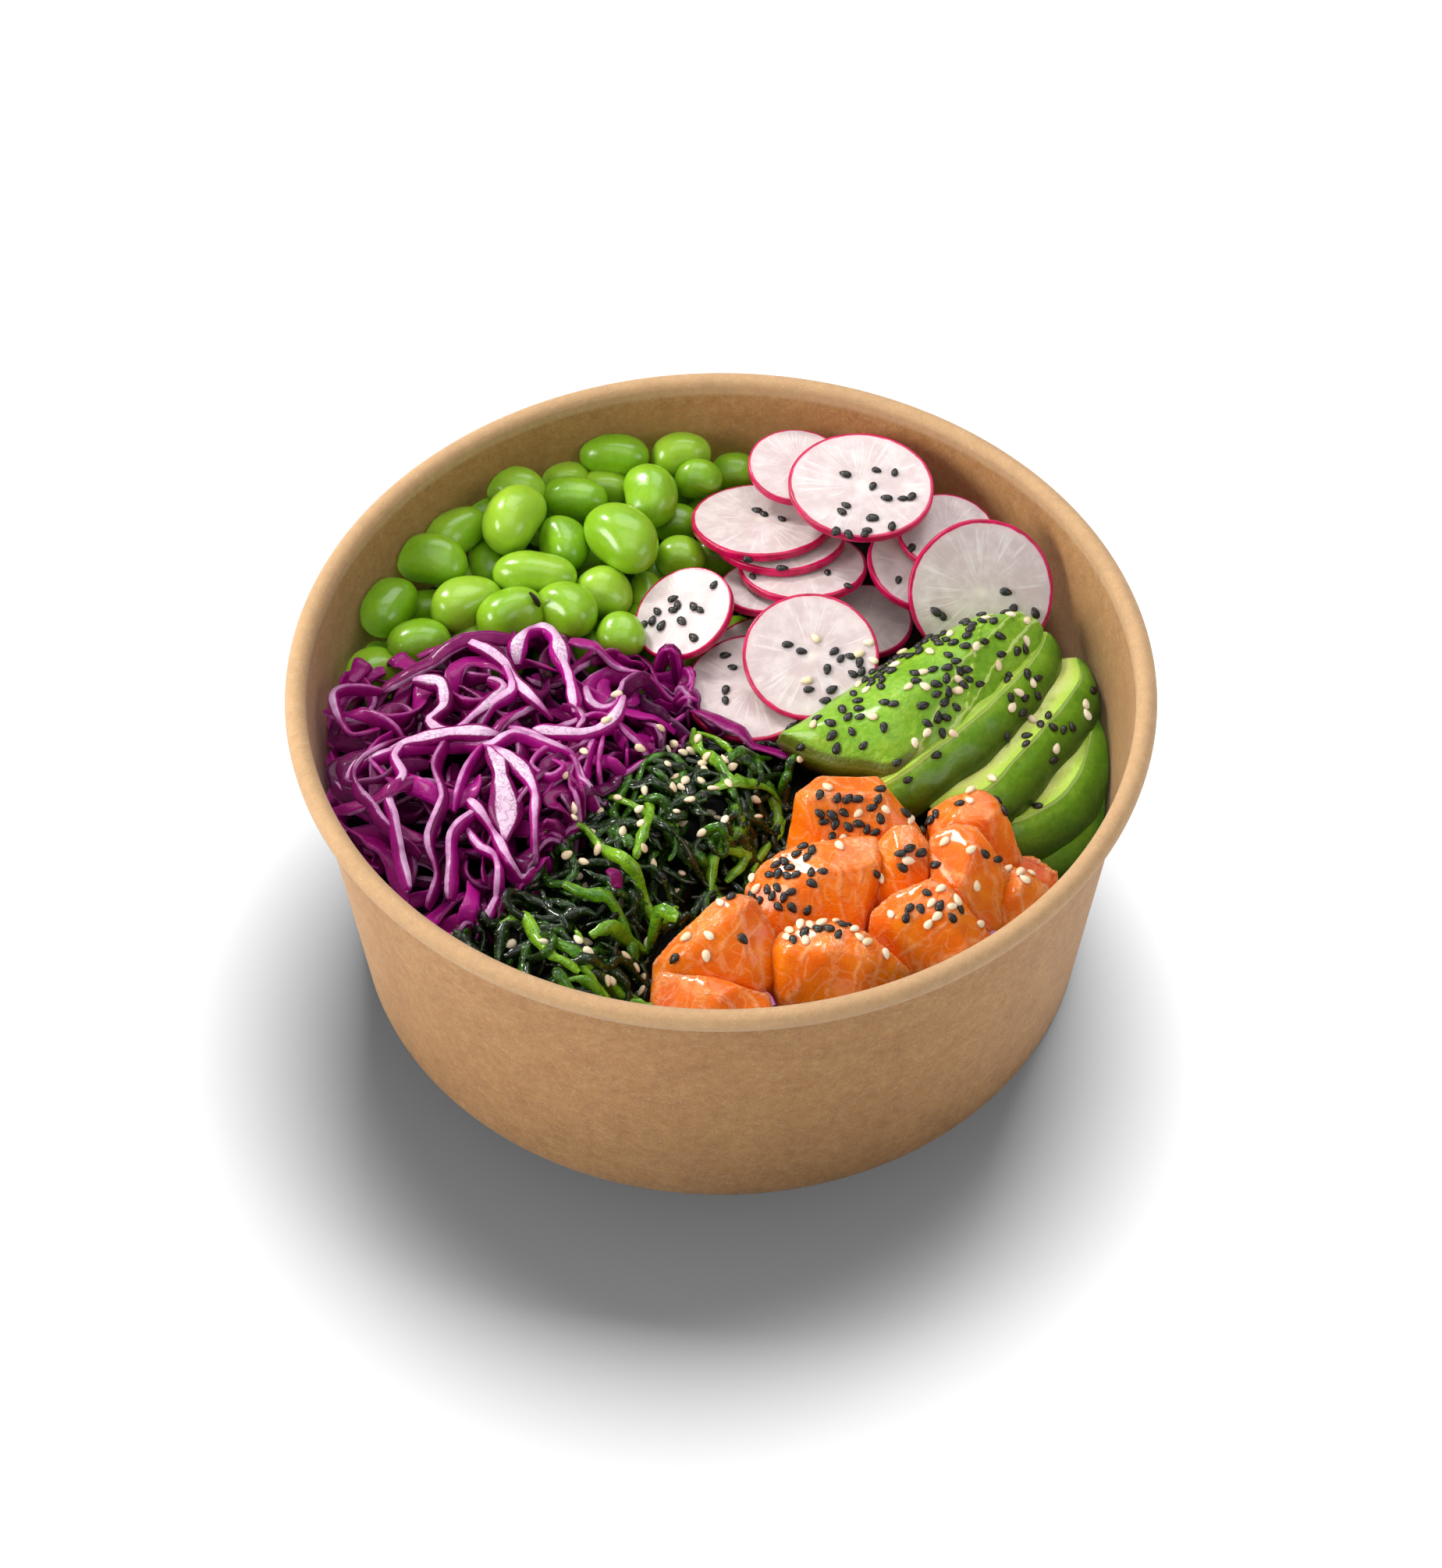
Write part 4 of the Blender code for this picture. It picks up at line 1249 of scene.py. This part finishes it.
def radishSlice(node, material, number):
    middle, facing, radius = discOf(node)
    radius -= radish["inset"]
    chance = random.Random(number)
    drift = Vector([chance.uniform(-50, 50) for _ in range(3)])
    half, edge = radish["thickness"] / 2 - radish["inset"], radish["edge"]
    profile = [(radius * share, half) for share in (0.06, 0.2, 0.35, 0.5, 0.65, 0.78, 0.88, 0.95)]
    profile += [(radius - edge + edge * math.sin(a), half - edge + edge * math.cos(a))
                for a in np.radians((0, 30, 60, 90))]
    profile += [(radius, 0)]
    profile += [(r, -z) for r, z in reversed(profile[:-1])]
    count = radish["around"]
    turn = up.rotation_difference(facing).to_matrix() @ Matrix.Rotation(chance.uniform(0, 6.28), 3, "Z")
    points, spots = [], []

    def add(flatX, flatY, level):
        bearing = math.atan2(flatY, flatX)
        away = math.hypot(flatX, flatY)
        around = Vector((math.cos(bearing), math.sin(bearing), 0)) * 1.3
        uneven = 1 - radish["unround"] * (1 + noise.noise(around + drift))
        warp = radish["wave"] * noise.noise(Vector((flatX, flatY, 0)) / (14 * mm) + drift) * (away / radius)
        local = Vector((flatX * uneven, flatY * uneven, level + warp))
        points.append(middle + turn @ local)
        spots.append((flatX / radius, flatY / radius, level / half))

    add(0, 0, half)
    for r, z in profile:
        for step in range(count):
            bearing = 2 * math.pi * step / count
            add(r * math.cos(bearing), r * math.sin(bearing), z)
    add(0, 0, -half)
    faces = [(0, 1 + k, 1 + (k + 1) % count) for k in range(count)]
    for row in range(len(profile) - 1):
        for k in range(count):
            a, b = 1 + row * count + k, 1 + row * count + (k + 1) % count
            faces.append((a, a + count, b + count, b))
    last, tip = 1 + (len(profile) - 1) * count, len(points) - 1
    faces += [(last + (k + 1) % count, last + k, tip) for k in range(count)]
    mesh = meshOf(node + "_flesh", points, faces)
    write(mesh, "spot", spots)
    write(mesh, "tone", [chance.random()] * len(points))
    made = show(node + "_flesh", mesh)
    outward(mesh)
    dressed(mesh, material)
    keep(made, "radish", [node])


radishPaint = paintRadish()
for number, node in enumerate(numbered("radish_slice")):
    radishSlice(node, radishPaint, number)
print("radish")


salmon = {
    "voxel": 0.7 * mm,
    "soften": (0.5, 3),
    "under": 44 * mm,
    "lump": 0.6 * mm,
    "lumpSize": 9 * mm,
    "flake": 0.10 * mm,
    "flakeSize": 2.2 * mm,
    "swell": 0.4 * mm,
    "flare": 1.06,  # how much wider a piece is at its underside
    "lineSpacing": 5.5 * mm,
    # corners of what shows of each piece (mm); under them it goes straight down
    "corners": [
        [(31, -52, 61), (36, -50, 65), (43, -48, 68), (47, -50, 67.5), (53, -53, 60), (58, -55, 54),
         (50, -62, 52), (37, -62, 54), (31, -57, 56), (36.5, -56, 65), (47.5, -56, 66.5), (52, -61, 58)],
        [(10, -60, 60), (12, -58, 62), (17, -57, 65), (25, -59, 66), (30, -60, 65), (34, -62, 62),
         (39, -63, 56), (28, -69, 54), (12, -70, 53), (13, -64, 64), (22, -66, 66.5), (30, -66.5, 64)],
        [(4, -53, 69), (7, -54, 69), (11, -58, 63), (11, -65, 56), (7.5, -69, 57), (-2, -68, 56),
         (-14, -65, 55), (-14, -62, 58), (-7, -58, 64), (-1, -54, 68), (3.5, -58, 69.5), (-8, -64, 62.5)],
        [(5, -43, 58), (8, -39, 61), (12, -37, 63), (17, -36, 64), (25, -36, 66), (32, -35, 66),
         (34, -38, 65), (33, -43, 63), (31, -48, 58), (29, -53, 55), (12, -53, 55), (8, -47, 57),
         (14.5, -45.5, 63), (22.5, -44.5, 66), (32, -42.5, 66)],
        [(43, -40, 66), (44, -36, 67), (49, -34, 69), (53, -35, 69), (56, -40, 67.5), (60, -43, 62),
         (60, -47, 56), (56, -51, 52), (46, -50, 57), (52, -41.5, 70), (49.5, -49, 64.5)],
        [(16, -23, 65), (21, -19, 66), (33, -19, 66.5), (36, -24, 65.5), (40, -28, 61), (43, -28, 57),
         (37, -32, 60), (20, -35, 58), (14, -29, 56), (18, -26, 67.5), (34.5, -25, 67.5)],
        [(32, -37, 65), (36, -34, 68), (40, -34, 68.5), (43, -38, 67), (43, -43, 63), (39, -47, 59),
         (32, -45, 59), (37, -42, 68.5)],
        [(44, -25, 62), (48, -23, 64), (54, -22, 65.5), (58, -24, 65), (61, -28, 62), (64, -33, 55),
         (56, -36, 57), (45, -33, 58), (49, -30, 65), (57, -30, 65.5)],
        [(59, -40, 62), (63, -41, 62), (69, -43, 58), (68, -46, 53), (61, -50, 52), (56, -49, 54),
         (62, -46, 62)],
        [(62, -32, 55), (66, -32, 56), (71, -35, 54), (70, -38, 51), (64, -39, 52)],
        [(-14, -66, 56), (-13, -65, 58), (-4, -68, 60.5), (4, -70, 60), (10, -70, 57), (10, -77, 55),
         (4, -80, 55), (-8, -79, 55), (-14, -76, 54), (0, -74, 61)],
    ],
}


def paintSalmon():
    paint = Paint("salmonFlesh", {"IOR": 1.4, "Specular IOR Level": 0.25, "Subsurface Weight": 0.35,
                                  "Coat Weight": 0.55, "Coat Roughness": 0.1,
                                  "Subsurface Radius": (1.0, 0.5, 0.12),
                                  "Subsurface Scale": 3 * mm})
    grain = paint.stored("grain")
    edge = paint.value("edge")
    x, y, z = paint.split(grain)
    sway = paint.noise(14 * mm, 2, 0.5, at=grain)
    fine = paint.noise(2.5 * mm, 3, 0.6, at=grain)
    run = x / salmon["lineSpacing"] + sway * 2.4 + (y * y) * 2000
    wave = abs(run - run.calc("FLOOR", run + 0.5))
    line = (1 - wave.rise(0.02, 0.18)) * fine.rise(0.3, 0.62)
    web = paint.noise(7 * mm, 1, 0.5, at=paint.stretch(grain, (1, 1.6, 1)), wander=0.8).band(0.5, 0.04)
    glow = paint.noise(8 * mm, 2, 0.5, at=grain)
    flesh = paint.ramp(glow * 0.7 + fine * 0.3, (0.25, colour("E25602")), (0.5, colour("F07202")),
                       (0.75, colour("FC9010")))
    base = paint.mix((line * 0.5).most(web * 0.3), flesh, colour("FFB67C"))
    # painted sheen: the edges and the upward faces are lightened towards pale peach
    paintedSheen = edge.rise(0.2, 0.8).most(paint.value("upward").rise(0.6, 0.95) * glow.rise(0.5, 0.62))
    base = paint.mix(paintedSheen * 0.22, base, colour("FFAC70"))
    wrinkle = paint.noise(1.0 * mm, 3, 0.65, at=paint.stretch(grain, (1, 0.45, 1)), wander=1.5)
    # painted highlight: sharp wrinkled streaks of near white over the painted sheen
    paintedHighlight = wrinkle.rise(0.54, 0.62) * paintedSheen * fine.rise(0.3, 0.5)
    base = paint.mix(paintedHighlight * 0.6, base, colour("FFDCC4"))
    height = wrinkle * (0.35 + paintedSheen * 0.65) + line * 0.25
    rough = 0.2 + fine * 0.15
    return paint.finish(Base_Color=base, Roughness=rough, Normal=paint.bump(height, 0.8 * mm))


def hullOf(points):
    build = bmesh.new()
    for point in points:
        build.verts.new(point)
    made = bmesh.ops.convex_hull(build, input=build.verts[:])
    spare = made["geom_interior"] + made["geom_unused"]
    loose = {item for item in spare if isinstance(item, bmesh.types.BMVert)}
    bmesh.ops.delete(build, geom=list(loose), context="VERTS")
    return build


def salmonPiece(node, material, number, corners):
    chance = random.Random(100 + number)
    tops = [Vector(corner) * mm for corner in corners]
    centre = sum(tops, Vector()) / len(tops)
    flare = salmon["flare"]
    lows = [Vector((centre.x + (top.x - centre.x) * flare, centre.y + (top.y - centre.y) * flare,
                    salmon["under"])) for top in tops]
    made = show(node + "_flesh", closed(hullOf(tops + lows), bpy.data.meshes.new(node + "_flesh")))
    remesh = made.modifiers.new("even", "REMESH")
    remesh.mode = "VOXEL"
    remesh.voxel_size = salmon["voxel"]
    soften = made.modifiers.new("soften", "SMOOTH")
    soften.factor, soften.iterations = salmon["soften"]
    settle(made)
    mesh = made.data
    mesh.name = node + "_flesh"
    turn = Euler([chance.uniform(-0.5, 0.5), chance.uniform(-0.5, 0.5), chance.uniform(0, 6.28)]).to_matrix()
    drift = Vector([chance.uniform(-1, 1) for _ in range(3)]) * 30
    write(mesh, "edge", bend(mesh))

    def bulge(place):
        low = noise.noise(place / salmon["lumpSize"] + drift)
        high = noise.noise((turn @ place) / salmon["flakeSize"] + drift)
        return salmon["swell"] + salmon["lump"] * low + salmon["flake"] * high

    pushed(mesh, bulge)
    write(mesh, "grain", [tuple(turn @ (point.co - centre) + drift * mm * 3) for point in mesh.vertices])
    write(mesh, "upward", [point.normal.z for point in mesh.vertices])
    dressed(mesh, material)
    keep(made, "salmon", [node])


salmonPaint = paintSalmon()
for number, node in enumerate(numbered("salmon_cube")):
    salmonPiece(node, salmonPaint, number, salmon["corners"][number])
print("salmon")


avocado = {
    "lump": 0.7 * mm,
    "lumpSize": 7 * mm,
    "wall": 84.6 * mm,  # how far out a slice may reach
    # the domed slice: its near and far edges (mm), and its height over them
    "near": [(12.5, -2, 57), (22.5, -9, 58), (31, -11.5, 59), (37, -13, 60), (44.5, -7.5, 62), (54, 1, 63.3),
             (61.5, 10.5, 63), (68, 21.5, 61), (70.5, 29, 58.5)],
    "far": [(12, -1, 57), (19, 4.5, 58), (27, 11.5, 59), (36, 19, 60), (44, 24.5, 60.5), (53, 29.5, 60.5),
            (62, 33, 59.5), (68, 33, 58.5), (71, 31, 58)],
    "height": 8.5,
    "steps": (64, 45, 8),  # of the domed slice: along it, over its top and under it
    "ends": (0.5, 0.28),  # how long its blunt and its sharp end are, as shares of its length
    "fanEnds": (0.12, 0.35),
    # cuts along it: mm from the near edge, where they start along it and how far they step down (mm)
    "cuts": [(4.0, 0.5, 0.7), (9.0, 0.4, 1.1), (15.5, 0.55, 0.9)],
    # the others: where the cut face meets the peeled side (mm)
    "ridges": [
        [(33, -15, 57.5), (37, -14, 60), (44.7, -8.2, 61.7), (54.3, 0.3, 63), (61.8, 9.8, 62.6),
         (68.7, 21, 60.5), (71.5, 30, 57.5)],
        [(45, -17, 53), (51, -15, 54.5), (57, -12.5, 55), (65.5, -2, 56), (73, 8.5, 56), (78, 18, 55),
         (78, 27, 52.5)],
        [(60, -15.5, 46.5), (66, -14, 47.5), (73.5, -9, 48.5), (78.5, 0, 49), (80.5, 9, 48.5),
         (79, 18, 46.5)],
        [(63, -18.5, 40.5), (73, -14.5, 42), (78, -6.5, 43), (80, 2, 43.5), (79, 10, 42)],
    ],
    # a slice's section from the cut face over the ridge and down the peeled side: outward, up (mm)
    "section": [(-11, -5), (-11.5, -1.5), (-8, -0.5), (-4, -0.3), (-1, 0.1), (-0.1, 0.45), (0.2, -0.1),
                (0.9, -0.9),
                (2.4, -1.8), (4.2, -3.4), (5.7, -5.4), (6.2, -7.6), (5.6, -9.6), (2, -11), (-7, -9)],
}


def paintAvocado():
    paint = Paint("avocadoFlesh", {"IOR": 1.42, "Subsurface Weight": 0.2, "Coat Weight": 0.35,
                                   "Specular IOR Level": 0.3, "Coat Roughness": 0.15,
                                   "Subsurface Radius": (0.6, 1.0, 0.15),
                                   "Subsurface Scale": 2 * mm})
    away = paint.value("away")  # mm from the ridge, over the cut face (+) or down the peeled side (-)
    # under: the dark olive-brown, partly the pit hollow's colour and partly painted shade
    under = paint.value("under")
    cloud = paint.noise(6 * mm, 3, 0.55)
    fine = paint.noise(1.4 * mm, 3, 0.6)
    skin = paint.ramp(cloud * 0.55 + fine * 0.45, (0.25, colour("68A218")), (0.5, colour("90C22C")),
                      (0.75, colour("B4D84C")))
    # painted shade: the peeled side darkens towards olive further down from the ridge
    deep = paint.ramp(away * -0.1, (0.0, colour("FFFFFF")), (0.3, colour("B4C064")), (0.8, colour("6A721A")))
    skin = paint.mix(1.0, skin, deep, "MULTIPLY")
    flesh = paint.ramp(away / 8 + (cloud - 0.5) * 0.2, (0.0, colour("A6D23E")), (0.25, colour("CEE462")),
                       (0.5, colour("E6EE86")), (0.9, colour("D2E260")))
    base = paint.mix(away.rise(-0.15, 0.3), skin, flesh)
    line = away.band(-0.1, 0.45)
    base = paint.mix(line * 0.75, base, colour("DCEC96"))
    # dark olive-brown under the slice: partly the brownish pit hollow, partly painted shade
    base = paint.mix(under, base, colour("4C420A"))
    height = fine * 0.7 + cloud * 0.8
    return paint.finish(Base_Color=base, Roughness=0.3 + fine * 0.15, Normal=paint.bump(height, 0.5 * mm))


def loft(name, rings, stored):  # a closed skin over a row of rings with equally many points
    count = len(rings[0])
    points = [point for ring in rings for point in ring]
    faces = []
    for row in range(len(rings) - 1):
        for k in range(count):
            a, b = row * count + k, row * count + (k + 1) % count
            faces.append((a, b, b + count, a + count))
    columns = {label: [value for ring in values for value in ring] for label, values in stored.items()}
    for row, flip in ((0, 1), (len(rings) - 1, 0)):
        points.append(sum((Vector(point) for point in rings[row]), Vector()) / count)
        tip = len(points) - 1
        for k in range(count):
            a, b = row * count + k, row * count + (k + 1) % count
            faces.append((b, a, tip) if flip else (a, b, tip))
        for values in columns.values():
            values.append(values[row * count])
    mesh = meshOf(name, points, faces)
    for label, values in columns.items():
        write(mesh, label, values)
    outward(mesh)
    return mesh


def endShape(share, blunt, sharp):  # how full a slice is at a share of its length
    first = min(share / blunt, 1)
    last = min((1 - share) / sharp, 1)
    return math.sqrt(max(1 - (1 - first) ** 2, 0)) * math.sqrt(max(1 - (1 - last) ** 2, 0))


def finishAvocado(node, mesh, material, number):
    drift = Vector((number * 7.3, 0, 0))
    pushed(mesh, lambda place: avocado["lump"] * noise.noise(place / avocado["lumpSize"] + drift))
    drawIn(mesh, lambda height: avocado["wall"])
    dressed(mesh, material)
    made = show(node + "_flesh", mesh)
    keep(made, "avocado", [node])


def domedSlice(node, material):
    near, far = eased(avocado["near"], 1.1), eased(avocado["far"], 1.1)
    steps, over, below = avocado["steps"]
    rings, away, under = [], [], []
    for step in range(steps + 1):
        t = step / steps
        low = near[round(t * (len(near) - 1))]
        high = far[round(t * (len(far) - 1))]
        full = endShape(t, *avocado["ends"])
        ring, ringAway, ringUnder = [], [], []
        width = (high - low).length
        for k in range(over):
            v = k / (over - 1)
            bulge = math.sin(math.pi * min(v * 0.97 + 0.03, 1)) ** 0.85
            top = low.lerp(high, v) + up * (avocado["height"] * full * bulge)
            toEdge = v * width
            ridge = False
            for reach, start, fall in avocado["cuts"]:
                cutIn = reach * min(max((t - start) / 0.2, 0), 1)
                if toEdge < cutIn:
                    top -= up * fall * min((cutIn - toEdge) / 0.5, 1)
                ridge = ridge or (cutIn > 0 and abs(toEdge - cutIn) < 0.35)
            ring.append(top * mm)
            ringAway.append(0.05 if ridge else -min(toEdge, 1.2) - 0.2)
            # the near edge towards the tip takes part of the dark olive-brown: pit hollow and painted shade
            ringUnder.append(0.85 * min(max((0.45 - t) / 0.08, 0), 1) * min(max((1.8 - toEdge) / 0.7, 0), 1))
        for k in range(below):
            v = 1 - k / (below - 1)
            ring.append((low.lerp(high, v * 0.94 + 0.03) - up * (1.2 + 4.5 * full)) * mm)
            ringAway.append(-3)
            # the underside takes the full dark olive-brown: pit hollow and painted shade
            ringUnder.append(1)
        rings.append(ring)
        away.append(ringAway)
        under.append(ringUnder)
    finishAvocado(node, loft(node + "_flesh", rings, {"away": away, "under": under}), material, 0)


def fannedSlice(node, material, number, ridge):
    line = eased(ridge, 0.9)
    shape = eased([(x, y, 0) for x, y in avocado["section"]], 0.6)
    rings, away = [], []
    crest = min(range(len(shape)), key=lambda k: (shape[k] - Vector((0.1, 0, 0))).length)
    for step, point in enumerate(line):
        t = step / (len(line) - 1)
        along = line[min(step + 1, len(line) - 1)] - line[max(step - 1, 0)]
        out = Vector((along.y, -along.x, 0)).normalized()
        full = endShape(t, *avocado["fanEnds"])
        ring = [(point + out * spot.x * (0.25 + 0.75 * full) + up * (spot.y * (0.2 + 0.8 * full))) * mm
                for spot in shape]
        rings.append(ring)
        away.append([(shape[k] - shape[crest]).length * (1 if k < crest and shape[k].y > -2 else -1)
                     for k in range(len(shape))])
    under = [[0.0] * len(shape) for _ in line]
    finishAvocado(node, loft(node + "_flesh", rings, {"away": away, "under": under}), material, number)


avocadoPaint = paintAvocado()
avocadoNodes = numbered("avocado_slice")
domedSlice(avocadoNodes[0], avocadoPaint)
for number, node in enumerate(avocadoNodes[1:]):
    fannedSlice(node, avocadoPaint, number + 1, avocado["ridges"][number])
print("avocado")


sesame = {
    "seed": 8,
    "size": (2.7, 1.75, 1.05),
    "spacing": 1.8 * mm,
    # slot, darkest and lightest colour, roughness
    "paints": {"black": ("sesame_black", "0A0A08", "24221E", 0.45),
               "cream": ("sesame_white", "E9CBA0", "F8E9CC", 0.4)},
    # seeds that lie alone, seen from above (mm)
    "black": [
        (27.5, 63), (34.5, 64.5), (38.5, 64), (33.5, 59.5), (36.5, 56), (40, 56), (42, 56.5),
        (27.5, 53.5), (26.5, 51.5), (33, 49.5), (42, 48), (25.5, 45.5), (31.5, 45), (8, 62.5), (9.5, 61),
        (13.5, 59), (33.5, 50), (37.5, 47.5), (32, 46), (39, 41), (13.5, 42.5), (23.5, 43.5), (25, 45.5),
        (28, 44.5), (28, 38), (6, 44), (7, 42), (-1.5, 37.5), (-10.5, 37), (-9.5, 35), (-10.5, 34),
        (-14, 35), (-6, 33.5), (-4.5, 32), (-15, 33), (-13, 31), (-17, 32.5), (-8.5, 30.5), (14.5, 20.5),
        (17.5, 19), (24.5, 19), (26, 17.5), (28, 18), (30, 16.5), (28.5, 14), (30.5, 14.5), (23, 15),
        (19, 10.5), (24, 10.5), (22.5, 8), (1, 25), (2.5, 21.5), (1, 15), (1, 12), (-6, 25.5), (62.5, 37),
        (64, 34.5), (69, 34.5), (47, 32.5), (48.5, 32), (4.5, -62), (-9.5, -64),
    ],
    "cream": [(20.5, 22), (18.5, 12.5), (30, 18.5), (33, 17), (34, 24), (32, 21), (-2.5, -61.5), (-3, -64.5)],
    # groups: middle (mm), reach along and across (mm), heading (degrees), black and cream seeds
    "groups": [
        ((48, 7), 8, 6, 40, 46, 6), ((33, 10), 8, 3.5, 45, 16, 4), ((50, 20), 18, 4, 25, 46, 18),
        ((52, 14), 13, 8, 35, 16, 12), ((30, -3), 14, 6, 20, 18, 5), ((45, -6), 12, 5, 45, 8, 8),
        ((66, 14), 10, 8, 50, 10, 8), ((66, 0), 16, 8, 50, 9, 6), ((76, 8), 14, 4, 60, 8, 4),
        ((28, -28.5), 9, 4, 0, 34, 12), ((13, -44), 10, 6, 40, 44, 30), ((36, -42.5), 8, 2, 15, 8, 5),
        ((22, -60), 8, 4, 0, 9, 36), ((33, -60), 7, 3, -15, 6, 7), ((43, -54), 9, 5, 10, 9, 16),
        ((43, -28), 5, 3, 0, 6, 3), ((52, -42), 9, 6, 0, 3, 5), ((54, -27), 7, 5, 0, 4, 3),
        ((62, -42), 6, 4, 0, 1, 5), ((-12, -8), 22, 14, -40, 4, 28), ((-18, -40), 26, 18, -30, 5, 34),
        ((-4, -24), 14, 12, 0, 2, 16), ((-22, -62), 18, 8, -15, 1, 8),
    ],
}


def seedShape():
    build = bmesh.new()
    bmesh.ops.create_icosphere(build, subdivisions=2, radius=1.0)
    for point in build.verts:
        x, y, z = point.co
        slim = 1 - 0.22 * x - 0.18 * x * x * (x > 0)
        point.co = (x, y * slim, z * slim)
    return closed(build, bpy.data.meshes.new("seed"))


def paintSeed(name, dark, light, rough):
    paint = Paint(name, {"IOR": 1.45, "Coat Weight": 0.25, "Coat Roughness": 0.25})
    tone = paint.value("tone")
    fine = paint.noise(0.6 * mm, 2, 0.6)
    base = paint.mix(tone * 0.7 + fine * 0.3, colour(dark), colour(light))
    return paint.finish(Base_Color=base, Roughness=rough, Normal=paint.bump(fine, 0.05 * mm))


def makeSesame():
    chance = random.Random(sesame["seed"])
    surface = surfaceOf(*laid)
    kinds = {"black": [], "cream": []}
    taken = []

    def lay(x, y, kind, gap):
        spot, normal = drop(surface, x * mm, y * mm)
        if spot is None or any((spot - other).length < gap for other in taken):
            return
        taken.append(spot)
        lean = (normal + up * 0.35).normalized()
        spin = Matrix.Rotation(chance.uniform(0, 6.28), 3, "Z")
        turn = (lean.to_track_quat("Z", "Y").to_matrix() @ spin).to_euler()
        swell = chance.uniform(0.88, 1.1)
        size = Vector(sesame["size"]) * 0.5 * mm * swell
        kinds[kind].append((spot + lean * size.z * 0.55, turn, size, chance.random()))

    for kind in kinds:
        for x, y in sesame[kind]:
            lay(x, y, kind, 0)
    for (x, y), reach, across, heading, black, cream in sesame["groups"]:
        turn = math.radians(heading)
        for kind, count in (("black", black), ("cream", cream)):
            for _ in range(count):
                u, v = chance.gauss(0, 0.5) * reach, chance.gauss(0, 0.5) * across
                lay(x + u * math.cos(turn) - v * math.sin(turn),
                    y + u * math.sin(turn) + v * math.cos(turn), kind, sesame["spacing"])
    for kind, (slot, dark, light, rough) in sesame["paints"].items():
        paint = paintSeed(kind + "Sesame", dark, light, rough)
        keep(strew("sesame_" + kind, seedShape(), kinds[kind], paint), slot)


makeSesame()
print("sesame")
